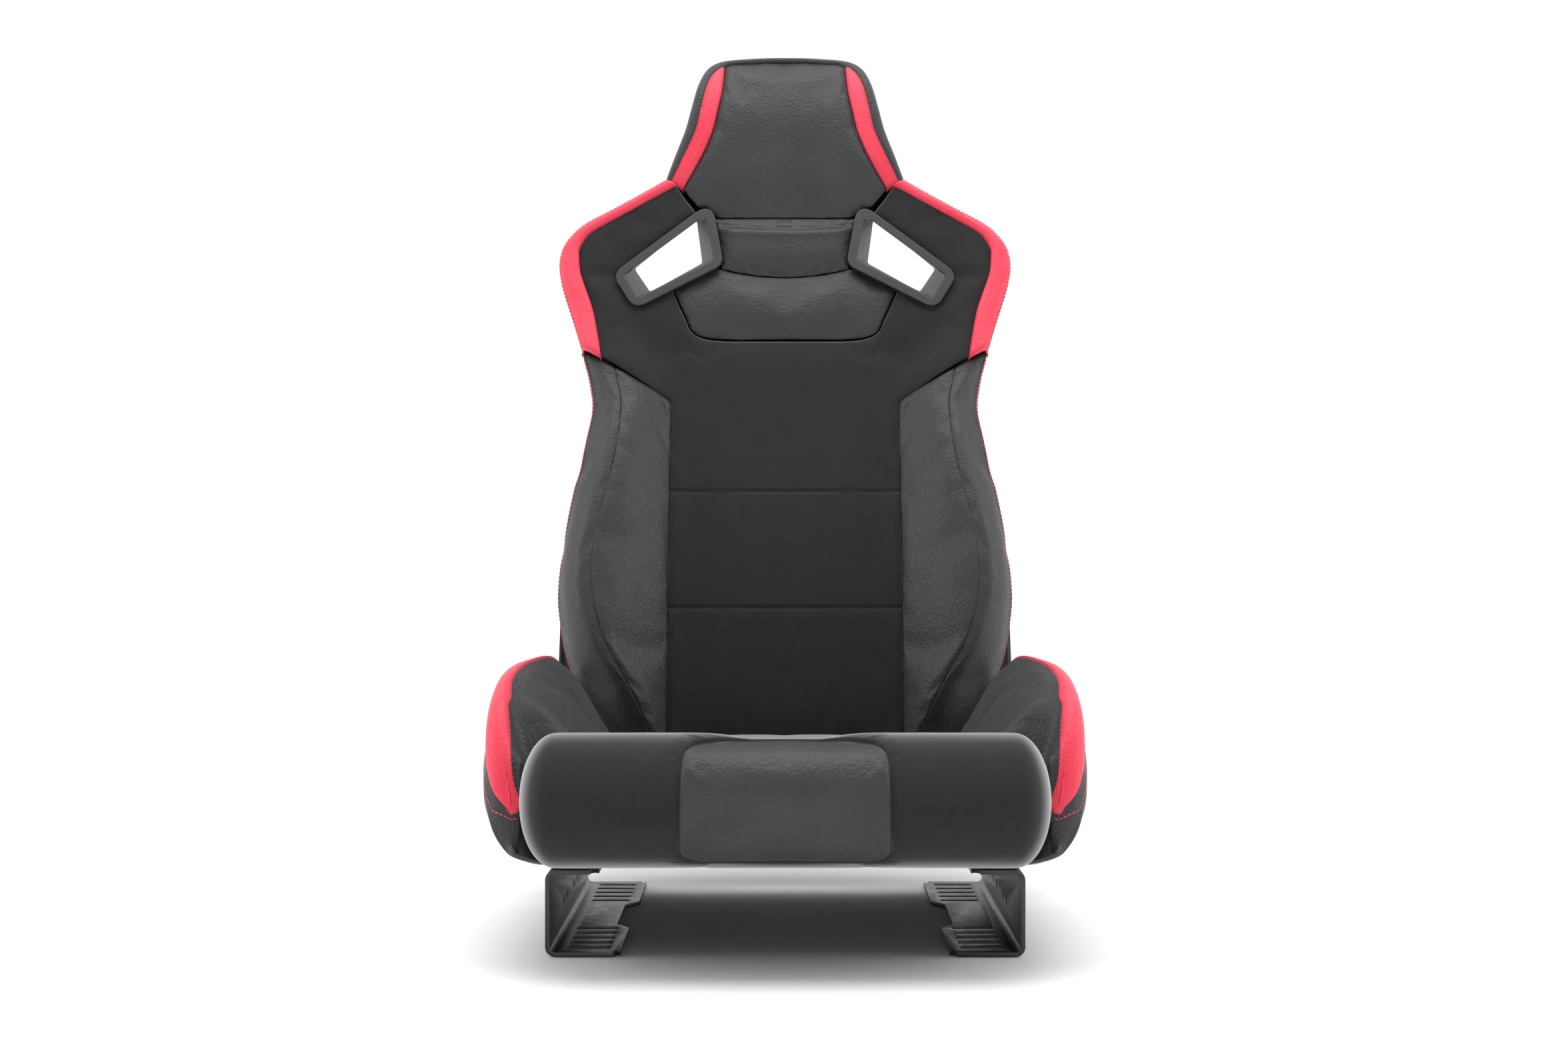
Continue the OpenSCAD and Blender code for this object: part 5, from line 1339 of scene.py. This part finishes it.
def shellBack(v):
    depth = shell["depth"]
    return -curve(v, [(footV, -4), (-24, 22), (-14, depth - 10), (60, depth), (300, depth), (438, depth - 4),
                      (joinV, depth - 4), (694, depth - 14), (749, 20), (767, 4), (topV - 5, -5)])


def shellSpot(v, k):
    c, d = along(shellSection, k)
    back = min(shell["rim"] - 1, shellBack(v))
    return onBack(c * shellHalf(v), mix(shell["rim"], back, d), v)


def makeShell(name, low, high, count):
    rows = rowsOf(spread(low, high, count, 0.6), evenly(0, 12, 72), shellSpot)
    piece = facing(sheetOf(name, rows), (0, 1, 0))
    thicken(piece, shell["wall"])
    applyAll(piece)
    return piece


def cutAway(piece, cutter):
    cut = piece.modifiers.new("cut", "BOOLEAN")
    cut.operation = "DIFFERENCE"
    cut.object = cutter
    cut.solver = "EXACT"
    applyAll(piece)
    bpy.data.objects.remove(cutter)


def tunnelCutter(side):
    # clears the shell round the tunnel, from before the place where the bezels meet to behind the rear one
    meet, rear = openingAt(1), [np.array(p) for p in mouth["rear"]]
    deep = bezel["rearFace"] + bezel["meet"]
    points = []
    for w in (-21, -62):
        corners = [mix(a, b, (bezel["meet"] - w) / deep) for a, b in zip(meet, rear)]
        outline = grown(corners, bezel["clearance"])
        points += [onBack(side * (mouth["middle"] + p)[0], w, (mouth["middle"] + p)[1]) for p in outline]
    faces = [(0, 1, 2, 3), (7, 6, 5, 4)] + [(k, k + 4, (k + 1) % 4 + 4, (k + 1) % 4) for k in range(4)]
    piece = newPiece("cutter", points, faces)
    turnOutwards(piece)
    return piece


upperShell = makeShell("moulded_upper_shell", shell["split"], topV - 5, 96)
for side in (-1, 1):
    cutAway(upperShell, tunnelCutter(side))
lowerShell = makeShell("moulded_lower_shell", footV, shell["split"] - shell["gap"], 34)
bpy.ops.mesh.primitive_cylinder_add(vertices=48, radius=shell["shaftHole"] * mm, depth=0.5,
                                    location=recline, rotation=(0, math.radians(90), 0))
cutAway(lowerShell, bpy.context.active_object)
for piece in (upperShell, lowerShell):
    roundEdges(piece, 0.6, 2, 50)
    applyAll(piece)
print("shells modelled")


# Copies of turned, bent and moulded parts with their edges broken

def softened(node, name, width, segments=2):
    piece = bpy.data.objects.new(name, nodes[node].data.copy())
    bpy.context.scene.collection.objects.link(piece)
    shape = bmesh.new()
    shape.from_mesh(piece.data)
    bmesh.ops.remove_doubles(shape, verts=shape.verts, dist=0.002 * mm)
    bmesh.ops.dissolve_limit(shape, angle_limit=math.radians(0.5), verts=shape.verts, edges=shape.edges)
    shape.to_mesh(piece.data)
    shape.free()
    roundEdges(piece, width, segments)
    applyAll(piece)
    return piece


brokenEdges = {"bracket": ("folded_bracket", "base", "black_steel", blackSteel, 0.7),
               "recliner_cover": ("moulded_recliner_cover", "base", "black_plastic", blackPlastic, 1.6),
               "release_lever": ("moulded_release_lever", "release", "black_plastic", blackPlastic, 2.0),
               "arm_cover": ("moulded_arm_cover", "backrest", "black_plastic", blackPlastic, 1.2)}
for part, (name, body, slotName, material, width) in brokenEdges.items():
    for side in ("left", "right"):
        piece = softened(part + "_" + side, name + "_" + side, width, 3)
        settle(piece, body, slotName, material, [part + "_" + side])

# CAD parts that keep their own shape
bareNodes = [(zincSteel, ["weld_nuts", "seat_spacers", "base_springs", "back_springs", "arm_bolts",
                          "release_shaft", "lever_screws"],
              ["recliner_plate", "fixed_disc", "moving_disc", "recliner_arm"]),
             (blackSteel, ["seat_bolts", "mid_cross_tube", "rear_cross_tube", "front_tube", "back_hoop",
                           "back_cross_bars"], ["side_rail", "front_arm"]),
             (shellPlastic, ["under_cover"], [])]
for material, parts, pairs in bareNodes:
    for part in parts + [pair + side for pair in pairs for side in ("_left", "_right")]:
        nodes[part].data.materials.clear()
        nodes[part].data.materials.append(material)
print("metal and plastic finished")


# Stuffing: the covers swell, then get their wall and their smooth surface

for piece in (backPanel, badge, neck, head, bolsterRight, shoulderTrim, headStrip, gusset):
    facing(piece, (0, -1, 0))
# piece, pressure, most that a point may move in mm, and slack
puff([(backPanel, 1.2, 3, 0.004), (badge, 1.5, 2.5, 0.006), (neck, 1.5, 2.5, 0.01), (head, 1.2, 3, 0.006),
      (bolsterRight, 1.5, 3, 0.006), (wingRight, 1.5, 2.5, 0.006), (thighRoll, 1.5, 2, 0.004),
      (rollPanel, 1.5, 1.5, 0.006), (seatCushion, 2, 5, 0.008)])


finishes = {"suede": ("fabric", blackSuede), "black": ("black_leather", blackLeather),
            "coral": ("red_leather", redLeather)}
# piece, wall in mm, body, finish, what it stands for and its fill; a right-hand one gets its left-hand twin
covers = [(backPanel, fabric["wall"], "backrest", "suede",
           ["centre_pad", "shoulder_pad_left", "shoulder_pad_right"], 0.7),
          (badge, panels["wall"], "backrest", "black", ["badge_panel"], 0.7),
          (neck, panels["wall"], "backrest", "black", ["neck_pad"], 0.7),
          (head, panels["wall"], "backrest", "black", ["head_pad"], 0.7),
          (bolsterRight, bolster["wall"], "backrest", "black", ["bolster_right"], 0.75),
          (shoulderTrim, trim["wall"], "backrest", "coral", ["shoulder_trim_right"], 0.8),
          (headStrip, trim["stripWall"], "backrest", "coral", ["head_trim_right"], 0.8),
          (gusset, trim["gussetWall"], "backrest", "black", [], 0.8),
          (wingRight, 0, "base", "black", ["wing_right"], 0.85),
          (wingTrim, wing["trimWall"], "base", "coral", ["wing_trim_right"], 0.8),
          (thighRoll, 0, "base", "suede", ["thigh_roll"], 0.85),
          (rollPanel, roll["panelWall"], "base", "black", ["roll_panel"], 0.8),
          (seatCushion, cushion["wall"], "base", "suede", ["seat_cushion"], 0.75)]
twins = {}
for piece, wall, body, finish, stands, fill in covers:
    if wall:
        thicken(piece, wall)
    subdivide(piece)
    applyAll(piece)
    name = piece.name.replace("_right", "_left")
    if name != piece.name:
        twins[piece] = mirrored(piece, name)
    settle(piece, body, *finishes[finish], stands, fill)
    if piece in twins:
        settle(twins[piece], body, *finishes[finish], [stands[0].replace("_right", "_left")], fill)
for piece, stands in ((frontBezel, "front_bezel_"), (rearBezel, "rear_bezel_")):
    twin = mirrored(piece, piece.name.replace("_right", "_left"))
    settle(piece, "backrest", "black_plastic", blackPlastic, [stands + "right"])
    settle(twin, "backrest", "black_plastic", blackPlastic, [stands + "left"])
settle(upperShell, "backrest", "black_plastic", shellPlastic, ["upper_shell"])
settle(lowerShell, "backrest", "black_plastic", shellPlastic, ["lower_shell"])
print("covers finished")


# Stitches: short threads laid end to end along a line on a finished cover

stitch = {"length": 3.4, "pitch": 4.6, "radius": 0.55, "sides": 6, "fromWingSeam": 3.2, "pastWingSeam": 4.5}


def stitchLine(name, path, cover, body, material):
    tree = BVHTree.FromPolygons([corner.co.copy() for corner in cover.data.vertices],
                                [tuple(face.vertices) for face in cover.data.polygons])
    runs = [0.0]
    for a, b in zip(path, path[1:]):
        runs.append(runs[-1] + (b - a).length / mm)

    def at(run):
        k = max(0, min(len(path) - 2, int(np.searchsorted(runs, run)) - 1))
        return path[k].lerp(path[k + 1], (run - runs[k]) / max(runs[k + 1] - runs[k], 1e-6))

    half, radius, sides = stitch["length"] / 2, stitch["radius"], stitch["sides"]
    profile = [(-half + 0.25 * radius, 0.6), (-half + radius, 1)]
    profile += [(-run, wide) for run, wide in reversed(profile)]
    points, faces = [], []
    for n in range(int(runs[-1] / stitch["pitch"])):
        run = (n + 0.5) * stitch["pitch"]
        spot, normal = tree.find_nearest(at(run))[:2]
        before, after = (tree.find_nearest(at(run + step))[0] for step in (-half, half))
        lengthwise = (after - before).normalized()
        across = lengthwise.cross(normal).normalized()
        up = across.cross(lengthwise)
        start = len(points)
        spot = (before + after) / 2 * 0.5 + spot * 0.5 + normal * 0.12 * mm
        points.append(spot - lengthwise * half * mm)
        for run, wide in profile:
            for t in evenly(0, 2 * math.pi, sides)[:-1]:
                way = across * math.cos(t) + up * math.sin(t)
                points.append(spot + lengthwise * run * mm + way * radius * wide * mm)
        points.append(spot + lengthwise * half * mm)
        faces += [(start, start + 1 + (k + 1) % sides, start + 1 + k) for k in range(sides)]
        faces += gridFaces(4, sides, start + 1, True)
        end = start + 1 + 3 * sides
        faces += [(end + k, end + (k + 1) % sides, end + sides) for k in range(sides)]
    piece = newPiece(name, points, faces)
    settle(piece, body, "red_leather", material)


def stitchBoth(name, path, cover, body, material):
    stitchLine(name + "_right", path, cover, body, material)
    stitchLine(name + "_left", [Vector((-p.x, p.y, p.z)) for p in path], twins[cover], body, material)


# most lines run along one column of a cover's rows
sideEnd = 54  # where the gusset's rows turn from the side of the head to its top
for tag, column, first, last in (("top_front", 2, sideEnd, -sideEnd), ("top_rear", 6, sideEnd, -sideEnd),
                                 ("right", 4, 3, sideEnd), ("left", 4, -sideEnd, -3)):
    path = [row[column] for row in gussetGrid[first:last]]
    stitchLine("thread_head_" + tag, path, gusset, "backrest", redThread)
for tag, column, rows, cover, thread in (("head_strip", 11, headStripGrid, headStrip, darkRedThread),
                                         ("shoulder", 16, shoulderRows, shoulderTrim, darkRedThread),
                                         ("shoulder_side", 25, shoulderRows, shoulderTrim, redThread)):
    stitchBoth("thread_" + tag, [row[column] for row in rows], cover, "backrest", thread)
for tag, place in (("front", 8.6), ("side", 9.3)):
    path = [onBack(*bolsterAcross(v, place), v) for v in evenly(*bolster["stitched"], 120)]
    stitchBoth("thread_bolster_" + tag, path, bolsterRight, "backrest", redThread)
trimPath = [trimSpot(t, 1 - stitch["fromWingSeam"] / trimWidthAt(t), 2) for t in trimTurns[1:-2]]
stitchBoth("thread_wing_trim", trimPath, wingTrim, "base", darkRedThread)
seamPath = [trimSpot(t, -stitch["pastWingSeam"] / trimWidthAt(t), 0.5) for t in trimTurns[1:-2]]
stitchBoth("thread_wing_seam", seamPath, wingRight, "base", redThread)
print("stitches laid")
